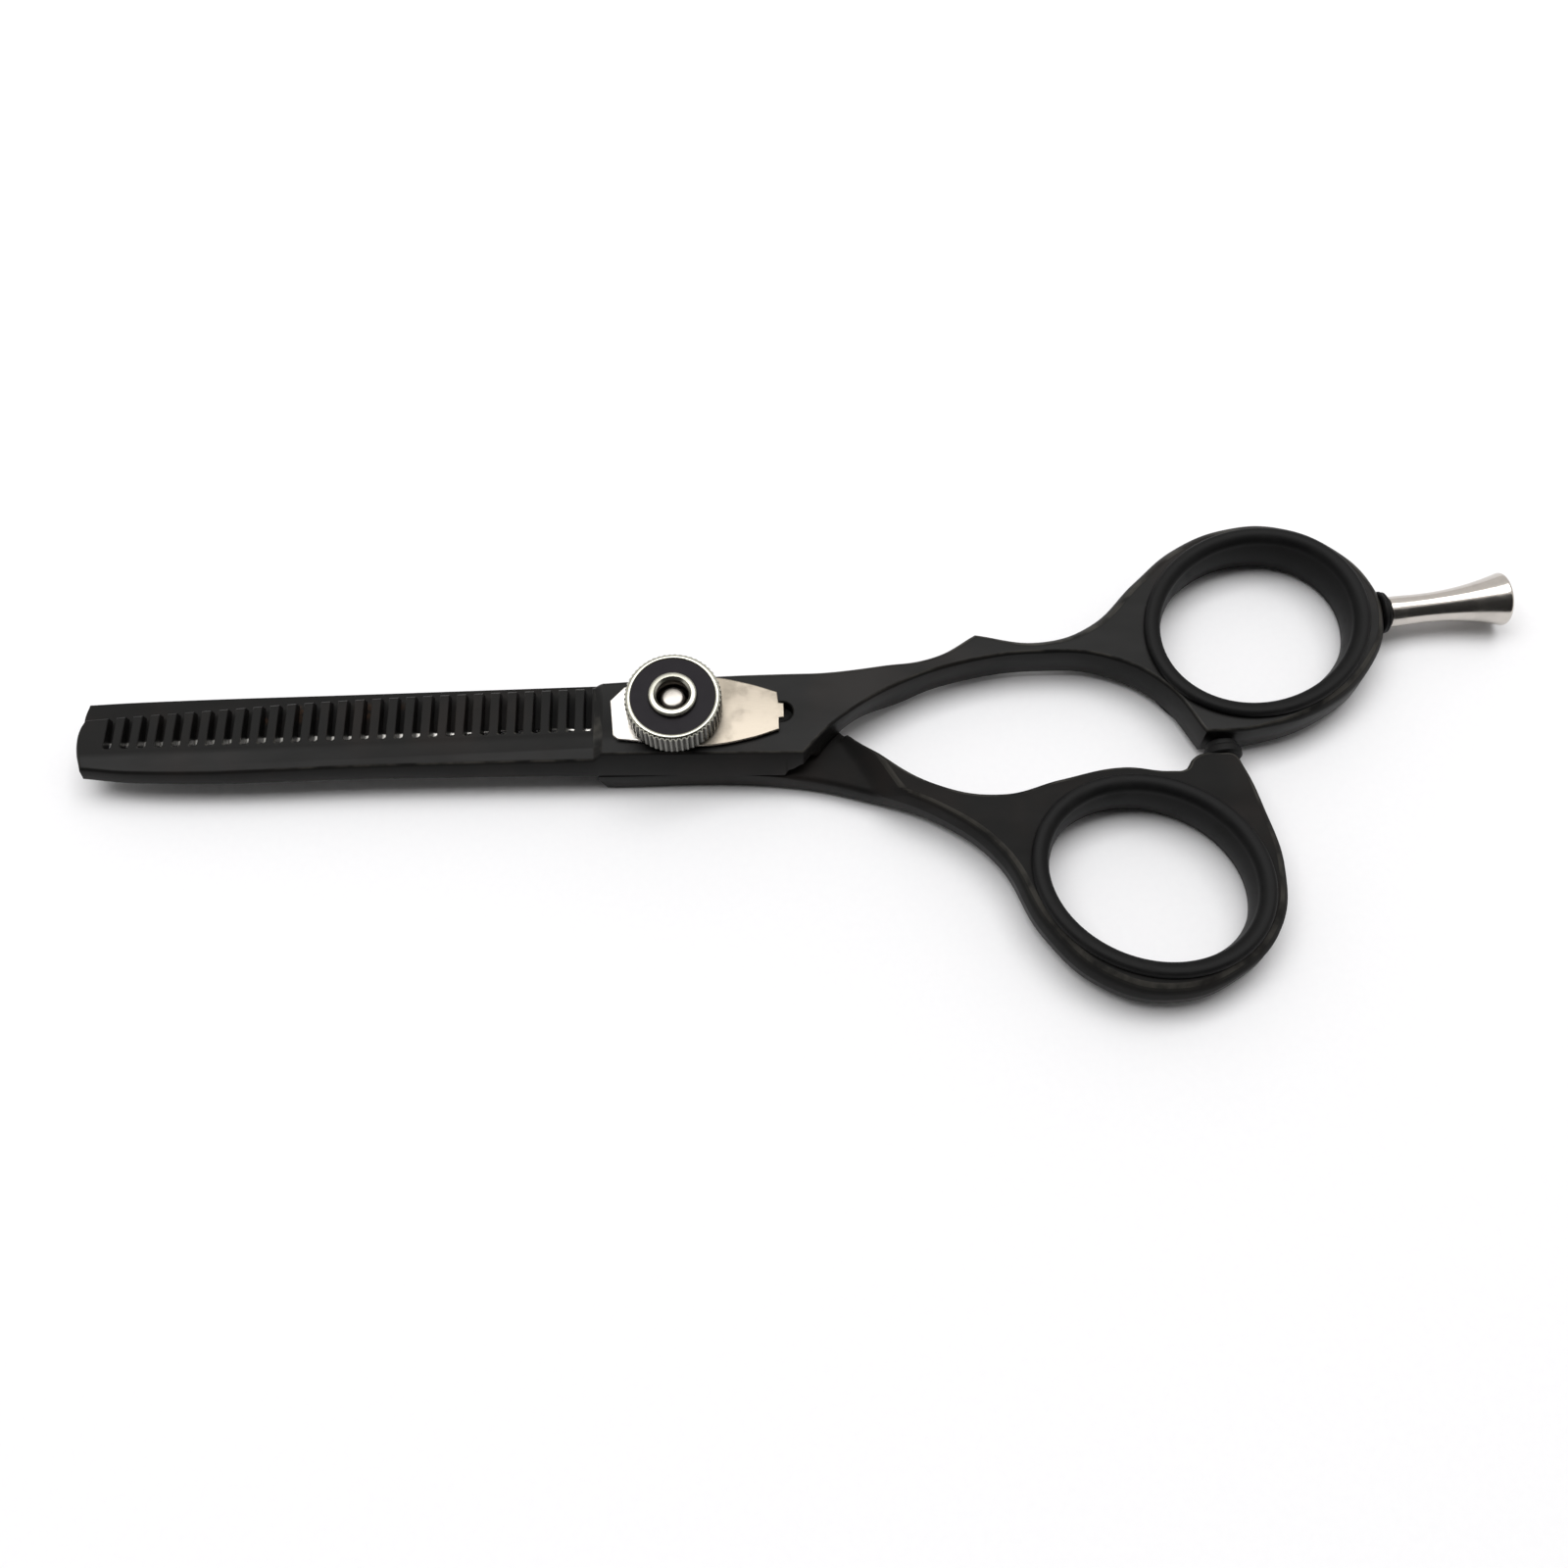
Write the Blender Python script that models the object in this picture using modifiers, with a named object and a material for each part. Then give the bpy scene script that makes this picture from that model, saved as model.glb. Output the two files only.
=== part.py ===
"""Thinning shears: a toothed half over a straight-bladed half, with a click dial on the pivot.

Frame: +Z up, metres in Blender. The origin is on the pivot axis, on the plane that the shears
lie on. The blades run along -X, the handles along +X, and the finger ring is on the +Y side.
Every size below is in millimetres, and MM turns it into metres where the mesh is made.
"""
import math

import bmesh
import bpy
from mathutils import Matrix, Vector

MM = 0.001

# ---- driving dimensions, mm -------------------------------------------------------------
GAP = 0.3                    # clearance between neighbouring pieces
FIT = 0.2                    # clearance of pins, plugs and pressed pieces
HEIGHT = 6.4                 # both halves stacked at the pivot
MID = HEIGHT / 2             # plane between the halves
SHANK = 4.7                  # thickness of the shanks and of the ring metal
SHANK_LOW = MID - SHANK / 2
SHANK_TOP = MID + SHANK / 2
COMB_UNDER = MID + GAP / 2   # mating face of the comb half
STRAIGHT_TOP = MID - GAP / 2 # mating face of the straight half

BLOCK_START = -7.6           # where the blades thicken into the pivot block
BLOCK_STEP = 1.0             # length of the sloped step there
BLADE_TIP = -63.1
COMB_TIP_TOP = 5.1           # height of the comb's ridge at the tip and at the block
COMB_ROOT_TOP = 5.9
RIDGE_Y = -2.6               # line of the comb's ridge, between the teeth and the spine
TOOTH_FALL = 0.10            # slope of the teeth down to their tips, mm per mm
SPINE_FALL = 0.14            # slope of the facet from the ridge down to the spine
STRAIGHT_TIP_LOW = 1.5       # underside of the straight blade at the tip
STRAIGHT_ROOT_LOW = 0.6
BEVEL_Y = 2.2                # the straight blade's underside slopes up from here to its edge
BEVEL_FALL = 0.28
DRAFT = 0.066                # how fast the comb half narrows with height, per mm

SLOT_COUNT = 29
SLOT_WIDTH = 0.85
SLOT_FIRST = -59.75
SLOT_LAST = -9.25
SLOT_BOTTOM = -1.4

COMB_RAMP = (0.35, 9.0)      # where past its heel edge the comb half grows to full thickness
STRAIGHT_RAMP = (0.35, 1.7)  # the straight half does so faster, at its back edge first ...
SCALLOP_PLACE = (18.8, -2.6) # ... because a ground facet runs across it from here
SCALLOP_AWAY = (0.866, 0.5)
SCALLOP = (-1.5, 1.3)
HEEL_LOW = (13.3, -6.35)     # the comb half's heel edge runs from here ...
CROTCH = (17.6, -1.1)        # ... to the crotch between the shanks
HEEL_HIGH = (13.0, 5.3)      # the straight half's heel edge runs from here to the crotch
RELIEF_X = (11.3, 11.8, 13.4)  # the comb half's front heel corner is lifted along here
RELIEF_Y = (4.0, 5.0)
RELIEF_STEP = 0.7
RELIEF_RISE = 0.8

FINGER_CENTRE = (63.05, 9.3)
FINGER_HOLE = (11.0, 9.35)   # half widths of the opening in the insert
FINGER_TURN = 30.0
THUMB_CENTRE = (48.2, -19.5)
THUMB_HOLE = (10.7, 9.0)
THUMB_TURN = -22.0
INSERT_LIP = 1.8             # width of the insert's lip
INSERT_WALL = 0.75           # wall of the insert inside the ring
INSERT_LIP_HEIGHT = 0.62
INSERT_CROWN = 0.3           # how far the inside swells in the middle

HEAD_RADIUS = 4.1
HEAD_HEIGHT = 0.85
BUSH_RADIUS = 3.9
BUSH_FLANGE = 0.4
BUSH_WALL = 0.5
SHAFT_RADIUS = 2.1
FLAT_HALF = 1.55             # half the distance across the screw's two flats
THREAD_RADIUS = 1.5
SCREW_END_RADIUS = 1.25
SCREW_TOP = 10.2

PLATE_LOW = HEIGHT + 0.15
PLATE_THICK = 0.45
PLATE_TOP = PLATE_LOW + PLATE_THICK
TAB_HOLE_CENTRE = (11.28, -0.18)
TAB_HOLE_RADIUS = 1.14
TAB_HOLE_DEPTH = 1.6

DIAL_RADIUS = 5.05
DIAL_LOW = PLATE_TOP + 0.2
DIAL_TOP = 10.4
DIAL_RIM = 4.45              # inner radius of the dial's rim
DIAL_FLOOR = 8.3             # the inlay's seat
DIAL_CHAMFER = 0.3
KNURL_COUNT = 54
KNURL_DEPTH = 0.2
NUT_RADIUS = 2.5
NUT_TOP = 11.0
INLAY_TOP = 10.3

BUMPER_X = 57.8
BUMPER_RADIUS = 2.0
BUMPER_TOP = -4.05
SHOULDER_Y = -6.05
STEM_RADIUS = 1.0
STEM_LENGTH = 2.6

REST_START = (77.1, 11.13)   # outer side of the finger ring, on the rest's axis
REST_TURN = 5.6
COLLAR_LENGTH = 0.95
COLLAR_RADIUS = 2.45
REST_LENGTH = 13.2
REST_ROOT_RADIUS = 1.7
REST_WAIST_RADIUS = 1.62
REST_END_RADIUS = 2.9
REST_WAIST = 0.3               # how far along the rest its waist is
STUD_RADIUS = 1.1
STUD_LENGTH = 1.9

CORNER = "VECTOR"
SMOOTH = "AUTO"
CURVE_STEPS = 4
ROUND_STEPS = 48

# Outlines: x, y, edge rounding, and whether the point is a corner or on a smooth stretch.
COMB_OUTLINE = [
    (-62.4, -4.1, 0.25, CORNER),
    (-57.0, -4.8, 0.25, SMOOTH),
    (-30.0, -5.2, 0.25, SMOOTH),
    (-8.0, -5.65, 0.25, SMOOTH),
    (13.3, -6.35, 0.25, CORNER),
    (17.6, -1.1, 0.3, SMOOTH),
    (24.5, 3.2, 0.35, SMOOTH),
    (31.0, 5.4, 0.35, SMOOTH),
    (39.5, 6.35, 0.35, SMOOTH),
    (46.5, 5.5, 0.35, SMOOTH),
    (52.3, 1.9, 0.35, SMOOTH),
    (55.8, -3.7, 0.3, CORNER),
    (61.0, -3.5, 0.4, SMOOTH),
    (69.5, -0.8, 0.9, SMOOTH),
    (75.0, 4.2, 0.9, SMOOTH),
    (77.0, 9.0, 0.7, SMOOTH),
    (76.6, 13.6, 0.7, SMOOTH),
    (73.0, 18.7, 0.9, SMOOTH),
    (67.4, 21.5, 0.8, SMOOTH),
    (61.4, 21.5, 0.8, SMOOTH),
    (55.4, 19.15, 0.9, SMOOTH),
    (50.5, 15.05, 0.9, SMOOTH),
    (45.0, 9.8, 0.9, SMOOTH),
    (39.3, 7.9, 0.7, SMOOTH),
    (32.4, 8.85, 0.35, CORNER),
    (28.0, 6.35, 0.35, SMOOTH),
    (22.0, 5.25, 0.3, SMOOTH),
    (13.0, 5.4, 0.3, SMOOTH),
    (5.0, 5.35, 0.25, SMOOTH),
    (-8.0, 4.8, 0.25, CORNER),
    (-9.0, 4.45, 0.2, CORNER),
    (-35.8, 3.95, 0.2, SMOOTH),
    (-50.0, 3.2, 0.2, SMOOTH),
    (-59.5, 2.68, 0.2, SMOOTH),
    (-62.6, 2.45, 0.15, CORNER),
    (-63.0, 1.35, 0.2, SMOOTH),
    (-63.1, -0.6, 0.25, SMOOTH),
]
STRAIGHT_OUTLINE = [
    (-62.9, 0.7, 0.1, CORNER),
    (-60.0, 0.0, 0.1, SMOOTH),
    (-30.0, -0.3, 0.1, SMOOTH),
    (-10.2, -0.3, 0.1, SMOOTH),
    (-8.5, -1.6, 0.2, SMOOTH),
    (-8.3, -5.55, 0.3, CORNER),
    (11.5, -6.35, 0.6, SMOOTH),
    (19.4, -8.2, 1.0, SMOOTH),
    (27.5, -11.6, 0.9, SMOOTH),
    (33.0, -16.4, 1.0, SMOOTH),
    (37.0, -24.6, 1.0, SMOOTH),
    (42.4, -30.1, 1.0, SMOOTH),
    (49.2, -31.9, 1.0, SMOOTH),
    (55.8, -29.9, 1.0, SMOOTH),
    (60.5, -25.4, 1.0, SMOOTH),
    (61.9, -18.9, 0.9, SMOOTH),
    (60.7, -12.2, 0.7, SMOOTH),
    (59.2, -7.7, 0.35, SMOOTH),
    (58.4, -6.3, 0.3, SMOOTH),
    (56.8, -6.05, 0.3, SMOOTH),
    (55.0, -6.1, 0.3, SMOOTH),
    (53.9, -6.75, 0.3, SMOOTH),
    (53.2, -7.75, 0.3, SMOOTH),
    (51.6, -7.95, 0.3, SMOOTH),
    (46.5, -7.35, 0.35, SMOOTH),
    (40.0, -8.5, 0.4, SMOOTH),
    (33.8, -9.95, 0.4, SMOOTH),
    (27.0, -8.6, 0.35, SMOOTH),
    (20.6, -4.3, 0.3, SMOOTH),
    (17.3, -1.1, 0.25, CORNER),
    (13.0, 5.3, 0.3, CORNER),
    (3.0, 5.25, 0.3, SMOOTH),
    (-30.0, 5.1, 0.3, SMOOTH),
    (-58.0, 4.95, 0.3, SMOOTH),
    (-63.0, 4.8, 0.3, CORNER),
    (-63.35, 2.9, 0.25, SMOOTH),
]
PLATE_OUTLINE = [
    (-6.75, 1.4, 0, CORNER),
    (-6.45, -2.6, 0, CORNER),
    (-5.95, -3.05, 0, CORNER),
    (-3.4, -3.4, 0, CORNER),
    (3.2, -4.1, 0, SMOOTH),
    (7.8, -3.45, 0, SMOOTH),
    (10.9, -2.5, 0, CORNER),
    (10.9, -1.2, 0, CORNER),
    (11.45, -1.15, 0, CORNER),
    (11.45, 0.5, 0, CORNER),
    (10.9, 0.6, 0, CORNER),
    (10.8, 1.85, 0, CORNER),
    (7.8, 2.95, 0, SMOOTH),
    (3.2, 3.95, 0, SMOOTH),
    (-3.4, 3.7, 0, CORNER),
    (-5.3, 2.9, 0, CORNER),
]

BLACK_COAT = ("black_coat", (0.022, 0.021, 0.020, 1), 0.42, 0.6)
BLACK_RUBBER = ("black_rubber", (0.018, 0.018, 0.018, 1), 0.65, 0.0)
SILVER = ("silver_steel", (0.62, 0.58, 0.52, 1), 0.3, 1.0)
BRUSHED_SILVER = ("plate_steel", (0.66, 0.62, 0.55, 1), 0.35, 1.0)
NYLON = ("white_nylon", (0.75, 0.74, 0.70, 1), 0.5, 0.0)
BLACK_INLAY = ("black_inlay", (0.02, 0.02, 0.022, 1), 0.35, 0.0)


# ---- helpers ----------------------------------------------------------------------------
def clear_scene():
    for obj in list(bpy.data.objects):
        bpy.data.objects.remove(obj, do_unlink=True)


def make_collection(name):
    collection = bpy.data.collections.new(name)
    bpy.context.scene.collection.children.link(collection)
    return collection


def material(spec):
    name, colour, roughness, metallic = spec
    found = bpy.data.materials.get(name)
    if found:
        return found
    mat = bpy.data.materials.new(name)
    mat.use_nodes = True
    shader = mat.node_tree.nodes["Principled BSDF"]
    shader.inputs["Base Color"].default_value = colour
    shader.inputs["Roughness"].default_value = roughness
    shader.inputs["Metallic"].default_value = metallic
    return mat


def add_object(name, mesh, collection, spec=None):
    obj = bpy.data.objects.new(name, mesh)
    collection.objects.link(obj)
    if spec:
        mesh.materials.append(material(spec))
        mesh.shade_smooth()
        mesh.set_sharp_from_angle(angle=math.radians(35))
    return obj


def evaluated_mesh(obj):
    """The object's mesh with its curve or modifiers worked out."""
    graph = bpy.context.evaluated_depsgraph_get()
    graph.update()
    return bpy.data.meshes.new_from_object(obj.evaluated_get(graph))


def bmesh_to_mesh(bm, name):
    mesh = bpy.data.meshes.new(name)
    bmesh.ops.recalc_face_normals(bm, faces=bm.faces)
    bm.to_mesh(mesh)
    bm.free()
    return mesh


def smoothstep(value, low, high):
    t = min(max((value - low) / (high - low), 0.0), 1.0)
    return t * t * (3 - 2 * t)


def mix(a, b, t):
    return a + (b - a) * t


def outline_points(points):
    """A closed Bezier through the points, as (x, y, edge) in order. Height carries the edge."""
    curve = bpy.data.curves.new("outline", "CURVE")
    curve.dimensions = "3D"
    curve.resolution_u = CURVE_STEPS
    spline = curve.splines.new("BEZIER")
    spline.bezier_points.add(len(points) - 1)
    spline.use_cyclic_u = True
    for knot, (x, y, edge, kind) in zip(spline.bezier_points, points):
        knot.co = (x, y, edge)
        knot.handle_left_type = kind
        knot.handle_right_type = kind
    obj = bpy.data.objects.new("outline", curve)
    bpy.context.scene.collection.objects.link(obj)
    mesh = evaluated_mesh(obj)
    loop = []
    for vertex in mesh.vertices:
        spot = vertex.co.copy()
        if not loop or (spot - loop[-1]).length > 0.02:
            loop.append(spot)
    bpy.data.objects.remove(obj, do_unlink=True)
    bpy.data.curves.remove(curve)
    bpy.data.meshes.remove(mesh)
    return loop


def inward_normals(loop):
    """Unit normals into a counter-clockwise loop, lengthened at corners so edges stay even."""
    normals = []
    for index, spot in enumerate(loop):
        before = (spot - loop[index - 1]).xy.normalized()
        after = (loop[(index + 1) % len(loop)] - spot).xy.normalized()
        tangent = (before + after).normalized()
        square = max(tangent.dot(after), 0.6)
        normals.append(Vector((-tangent.y, tangent.x)) / square)
    return normals


def rounded_plate(outline, low_edge, high_edge, cuts, height_at, spread_at):
    """A solid on an outline, with rounded rims, that follows its own heights.

    low_edge and high_edge scale the rounding at a point, cuts are the planes where the faces
    bend, height_at gives the underside and the top at a point, and spread_at narrows it.
    """
    loop = outline_points(outline)
    normals = inward_normals(loop)
    tall = 100.0
    bm = bmesh.new()
    rings = []
    corner = 1 - math.sqrt(0.5)
    steps = [(1, 0), (corner, corner), (0, 1)]
    for side, scale in ((0, low_edge), (1, high_edge)):
        for inset, depth in (steps if side == 0 else reversed(steps)):
            ring = []
            for spot, normal in zip(loop, normals):
                edge = max(spot.z * scale(spot.x, spot.y), 0.05)
                place = spot.xy + normal * edge * inset
                z = edge * depth if side == 0 else tall - edge * depth
                ring.append(bm.verts.new((place.x, place.y, z)))
            rings.append(ring)
    for lower, upper in zip(rings, rings[1:]):
        for index in range(len(loop)):
            after = (index + 1) % len(loop)
            bm.faces.new((lower[index], lower[after], upper[after], upper[index]))
    bm.faces.new(list(reversed(rings[0])))
    bm.faces.new(rings[-1])
    for point, normal in cuts:
        geometry = bm.verts[:] + bm.edges[:] + bm.faces[:]
        bmesh.ops.bisect_plane(bm, geom=geometry, dist=1e-4, plane_co=point, plane_no=normal)
    bmesh.ops.triangulate(bm, faces=[f for f in bm.faces if len(f.verts) > 4])
    for vertex in bm.verts:
        x, y, z = vertex.co
        low, high = height_at(x, y)
        z = low + z if z < tall / 2 else high - (tall - z)
        vertex.co = (x * MM, y * spread_at(x, z) * MM, z * MM)
    return bmesh_to_mesh(bm, "plate")


def turned(profile, steps=ROUND_STEPS):
    """A Screw modifier's turned solid. The (radius, height) profile runs down its outer side."""
    bm = bmesh.new()
    verts = [bm.verts.new((radius * MM, 0, height * MM)) for radius, height in profile]
    for first, second in zip(verts, verts[1:]):
        bm.edges.new((first, second))
    if profile[0][0] > 0:
        bm.edges.new((verts[-1], verts[0]))
    mesh = bpy.data.meshes.new("profile")
    bm.to_mesh(mesh)
    bm.free()
    obj = bpy.data.objects.new("profile", mesh)
    bpy.context.scene.collection.objects.link(obj)
    screw = obj.modifiers.new("screw", "SCREW")
    screw.steps = steps
    screw.render_steps = steps
    screw.use_merge_vertices = True
    screw.merge_threshold = 1e-6
    result = evaluated_mesh(obj)
    bpy.data.objects.remove(obj, do_unlink=True)
    return result


def prism(loop, low, high):
    """A straight extrusion of a loop of points between two heights."""
    bm = bmesh.new()
    ring = [bm.verts.new((spot[0] * MM, spot[1] * MM, low * MM)) for spot in loop]
    face = bm.faces.new(ring)
    lifted = bmesh.ops.extrude_face_region(bm, geom=[face])["geom"]
    moved = [item for item in lifted if isinstance(item, bmesh.types.BMVert)]
    bmesh.ops.translate(bm, verts=moved, vec=(0, 0, (high - low) * MM))
    return bmesh_to_mesh(bm, "prism")


def oval_cylinder(centre, half_widths, turn, low, high, steps=ROUND_STEPS):
    bm = bmesh.new()
    bmesh.ops.create_cone(bm, cap_ends=True, segments=steps, radius1=MM, radius2=MM,
                          depth=(high - low) * MM)
    bmesh.ops.scale(bm, vec=(half_widths[0], half_widths[1], 1), verts=bm.verts)
    turn_matrix = Matrix.Rotation(math.radians(turn), 4, "Z")
    bmesh.ops.transform(bm, matrix=turn_matrix, verts=bm.verts)
    shift = Vector((centre[0], centre[1], (low + high) / 2)) * MM
    bmesh.ops.translate(bm, vec=shift, verts=bm.verts)
    return bmesh_to_mesh(bm, "oval")


def box(low, high):
    bm = bmesh.new()
    bmesh.ops.create_cube(bm, size=1)
    size = [(b - a) * MM for a, b in zip(low, high)]
    middle = [(a + b) / 2 * MM for a, b in zip(low, high)]
    bmesh.ops.scale(bm, vec=size, verts=bm.verts)
    bmesh.ops.translate(bm, vec=middle, verts=bm.verts)
    return bmesh_to_mesh(bm, "box")


def boolean(obj, name, mesh, operation="DIFFERENCE"):
    """Cut or trim an object with a mesh that stays in the file as a hidden guide."""
    cutter = add_object(name, mesh, CUTTERS)
    cutter.hide_render = True
    cutter.display_type = "WIRE"
    modifier = obj.modifiers.new(name, "BOOLEAN")
    modifier.operation = operation
    modifier.solver = "EXACT"
    modifier.object = cutter
    return cutter


def lay_along_x(mesh, place, turn=0.0):
    """Turn a piece made along +Z so that it points along +X, then turn and move it."""
    matrix = Matrix.Translation(Vector(place) * MM)
    matrix @= Matrix.Rotation(math.radians(turn), 4, "Z")
    matrix @= Matrix.Rotation(math.pi / 2, 4, "Y")
    mesh.transform(matrix)
    return mesh


# ---- the two halves ---------------------------------------------------------------------
def past_heel(x, y, heel):
    """How far a point lies beyond a heel edge, towards the rings."""
    along = (Vector(CROTCH) - Vector(heel)).normalized()
    away = Vector((abs(along.y), -along.x if along.y > 0 else along.x))
    return (Vector((x, y)) - Vector(CROTCH)).dot(away)


def shank_ramp(x, y, heel, ramp):
    return smoothstep(past_heel(x, y, heel), ramp[0], ramp[1])


def heel_cuts(heel, ramp):
    """Planes parallel to a heel edge, where the ramp to the shank's thickness bends."""
    along = (Vector(CROTCH) - Vector(heel)).normalized()
    away = Vector((abs(along.y), -along.x if along.y > 0 else along.x, 0))
    base = Vector((CROTCH[0], CROTCH[1], 0))
    steps = [mix(ramp[0], ramp[1], index / 5) for index in range(6)]
    return [(base + away * step, away) for step in steps]


def scallop_cuts():
    base = Vector((*SCALLOP_PLACE, 0))
    away = Vector((*SCALLOP_AWAY, 0))
    steps = [mix(SCALLOP[0], SCALLOP[1], index / 5) for index in range(6)]
    return [(base + away * step, away) for step in steps]


def past_scallop(x, y):
    return (Vector((x, y)) - Vector(SCALLOP_PLACE)).dot(Vector(SCALLOP_AWAY))


def heel_relief(x, y):
    """How far the comb half's lower front corner is lifted clear of the straight half."""
    front = smoothstep(-y, RELIEF_Y[0], RELIEF_Y[1])
    first = RELIEF_STEP * smoothstep(x, RELIEF_X[0], RELIEF_X[1])
    return front * (first + RELIEF_RISE * smoothstep(x, RELIEF_X[1], RELIEF_X[2]))


def comb_heights(x, y):
    along = (x - BLADE_TIP) / (BLOCK_START - BLADE_TIP)
    ridge = mix(COMB_TIP_TOP, COMB_ROOT_TOP, min(max(along, 0), 1))
    fall = (y - RIDGE_Y) * TOOTH_FALL if y > RIDGE_Y else (RIDGE_Y - y) * SPINE_FALL
    step = min(max((x - BLOCK_START + BLOCK_STEP) / BLOCK_STEP, 0), 1)
    top = mix(ridge - fall, HEIGHT, step)
    top = mix(top, SHANK_TOP, smoothstep(x, 16, 30))
    low = mix(COMB_UNDER, SHANK_LOW, shank_ramp(x, y, HEEL_HIGH, COMB_RAMP))
    return low + heel_relief(x, y), top


def straight_heights(x, y):
    along = (x - BLADE_TIP) / (BLOCK_START - BLADE_TIP)
    low = mix(STRAIGHT_TIP_LOW, STRAIGHT_ROOT_LOW, min(max(along, 0), 1))
    low += max(BEVEL_Y - y, 0) * BEVEL_FALL
    step = min(max((x - BLOCK_START + BLOCK_STEP) / BLOCK_STEP, 0), 1)
    low = mix(low, 0, step)
    low = mix(low, SHANK_LOW, smoothstep(x, 16, 30))
    grown = min(shank_ramp(x, y, HEEL_LOW, STRAIGHT_RAMP), smoothstep(past_scallop(x, y), *SCALLOP))
    return low, mix(STRAIGHT_TOP, SHANK_TOP, grown)


def comb_spread(x, z):
    """The block and the spine lean in with height; the shank and the ring do not."""
    return 1 - DRAFT * max(z - MID, 0) * (1 - smoothstep(x, 14, 24))


def cross_cuts(*places):
    return [((x, 0, 0), (1, 0, 0)) for x in places]


def length_cuts(*places):
    return [((0, y, 0), (0, 1, 0)) for y in places]


def ring_hole(centre, hole, turn):
    reach = INSERT_WALL + FIT
    half_widths = (hole[0] + reach, hole[1] + reach)
    return oval_cylinder(centre, half_widths, turn, -2, HEIGHT + 2, 56)


def slot_cutter():
    bm = bmesh.new()
    for index in range(SLOT_COUNT):
        x = mix(SLOT_FIRST, SLOT_LAST, index / (SLOT_COUNT - 1))
        low = Vector((x - SLOT_WIDTH / 2, SLOT_BOTTOM, 1)) * MM
        high = Vector((x + SLOT_WIDTH / 2, 8, 8)) * MM
        made = bmesh.ops.create_cube(bm, size=1)["verts"]
        bmesh.ops.scale(bm, vec=high - low, verts=made)
        bmesh.ops.translate(bm, vec=(low + high) / 2, verts=made)
    return bmesh_to_mesh(bm, "slots")


def double_flat(radius, flat, low, high):
    """A round bar with two flats, as the screw's locked stretch and its hole."""
    bm = bmesh.new()
    bmesh.ops.create_cone(bm, cap_ends=True, segments=ROUND_STEPS, radius1=radius * MM,
                          radius2=radius * MM, depth=(high - low) * MM)
    bmesh.ops.translate(bm, vec=(0, 0, (low + high) / 2 * MM), verts=bm.verts)
    for vertex in bm.verts:
        vertex.co.y = max(min(vertex.co.y, flat * MM), -flat * MM)
    bmesh.ops.remove_doubles(bm, verts=bm.verts, dist=1e-6)
    bmesh.ops.dissolve_limit(bm, angle_limit=0.001, verts=bm.verts, edges=bm.edges)
    return bmesh_to_mesh(bm, "double_flat")


def comb_half():
    block_end = BLOCK_START - BLOCK_STEP
    cuts = cross_cuts(block_end, BLOCK_START, *RELIEF_X, 16, 18.5, 21, 23.5, 26, 28, 30)
    cuts += length_cuts(RIDGE_Y, -RELIEF_Y[0], -RELIEF_Y[1]) + heel_cuts(HEEL_HIGH, COMB_RAMP)
    mesh = rounded_plate(
        COMB_OUTLINE,
        lambda x, y: smoothstep(x, 20, 28),
        lambda x, y: 1,
        cuts, comb_heights, comb_spread)
    half = add_object("comb_half", mesh, PARTS, BLACK_COAT)
    boolean(half, "cut_slots", slot_cutter())
    boolean(half, "cut_pivot", double_flat(SHAFT_RADIUS + FIT, FLAT_HALF + FIT, 2, 8))
    tab_hole = oval_cylinder(TAB_HOLE_CENTRE, (TAB_HOLE_RADIUS, TAB_HOLE_RADIUS), 0,
                             HEIGHT - TAB_HOLE_DEPTH, 8, 20)
    boolean(half, "cut_tab_hole", tab_hole)
    boolean(half, "cut_finger_ring", ring_hole(FINGER_CENTRE, FINGER_HOLE, FINGER_TURN))
    stud = turned([(0, 3), (STUD_RADIUS + FIT, 3), (STUD_RADIUS + FIT, -STUD_LENGTH - FIT),
                   (0, -STUD_LENGTH - FIT)], 20)
    boolean(half, "cut_stud", lay_along_x(stud, (*REST_START, MID), REST_TURN))
    return half


def straight_half():
    block_end = BLOCK_START - BLOCK_STEP
    cuts = cross_cuts(block_end, BLOCK_START, 16, 18.5, 21, 23.5, 26, 28, 30)
    cuts += length_cuts(BEVEL_Y) + heel_cuts(HEEL_LOW, STRAIGHT_RAMP) + scallop_cuts()
    mesh = rounded_plate(
        STRAIGHT_OUTLINE,
        lambda x, y: 1,
        lambda x, y: smoothstep(x, 10.5, 13),
        cuts, straight_heights, lambda x, z: 1)
    half = add_object("straight_half", mesh, PARTS, BLACK_COAT)
    seat = HEAD_HEIGHT + BUSH_FLANGE + 2 * FIT
    bore = SHAFT_RADIUS + BUSH_WALL + 2 * FIT
    head_room = HEAD_RADIUS + FIT
    pocket = turned([(0, 5), (bore, 5), (bore, seat), (head_room, seat), (head_room, -2), (0, -2)])
    boolean(half, "cut_pivot_pocket", pocket)
    boolean(half, "cut_thumb_ring", ring_hole(THUMB_CENTRE, THUMB_HOLE, THUMB_TURN))
    stem = turned([(0, 2), (STEM_RADIUS + FIT, 2), (STEM_RADIUS + FIT, -STEM_LENGTH - FIT),
                   (0, -STEM_LENGTH - FIT)], 20)
    boolean(half, "cut_stem", lay_along_x(stem, (BUMPER_X, SHOULDER_Y, MID), 90))
    return half


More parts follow.
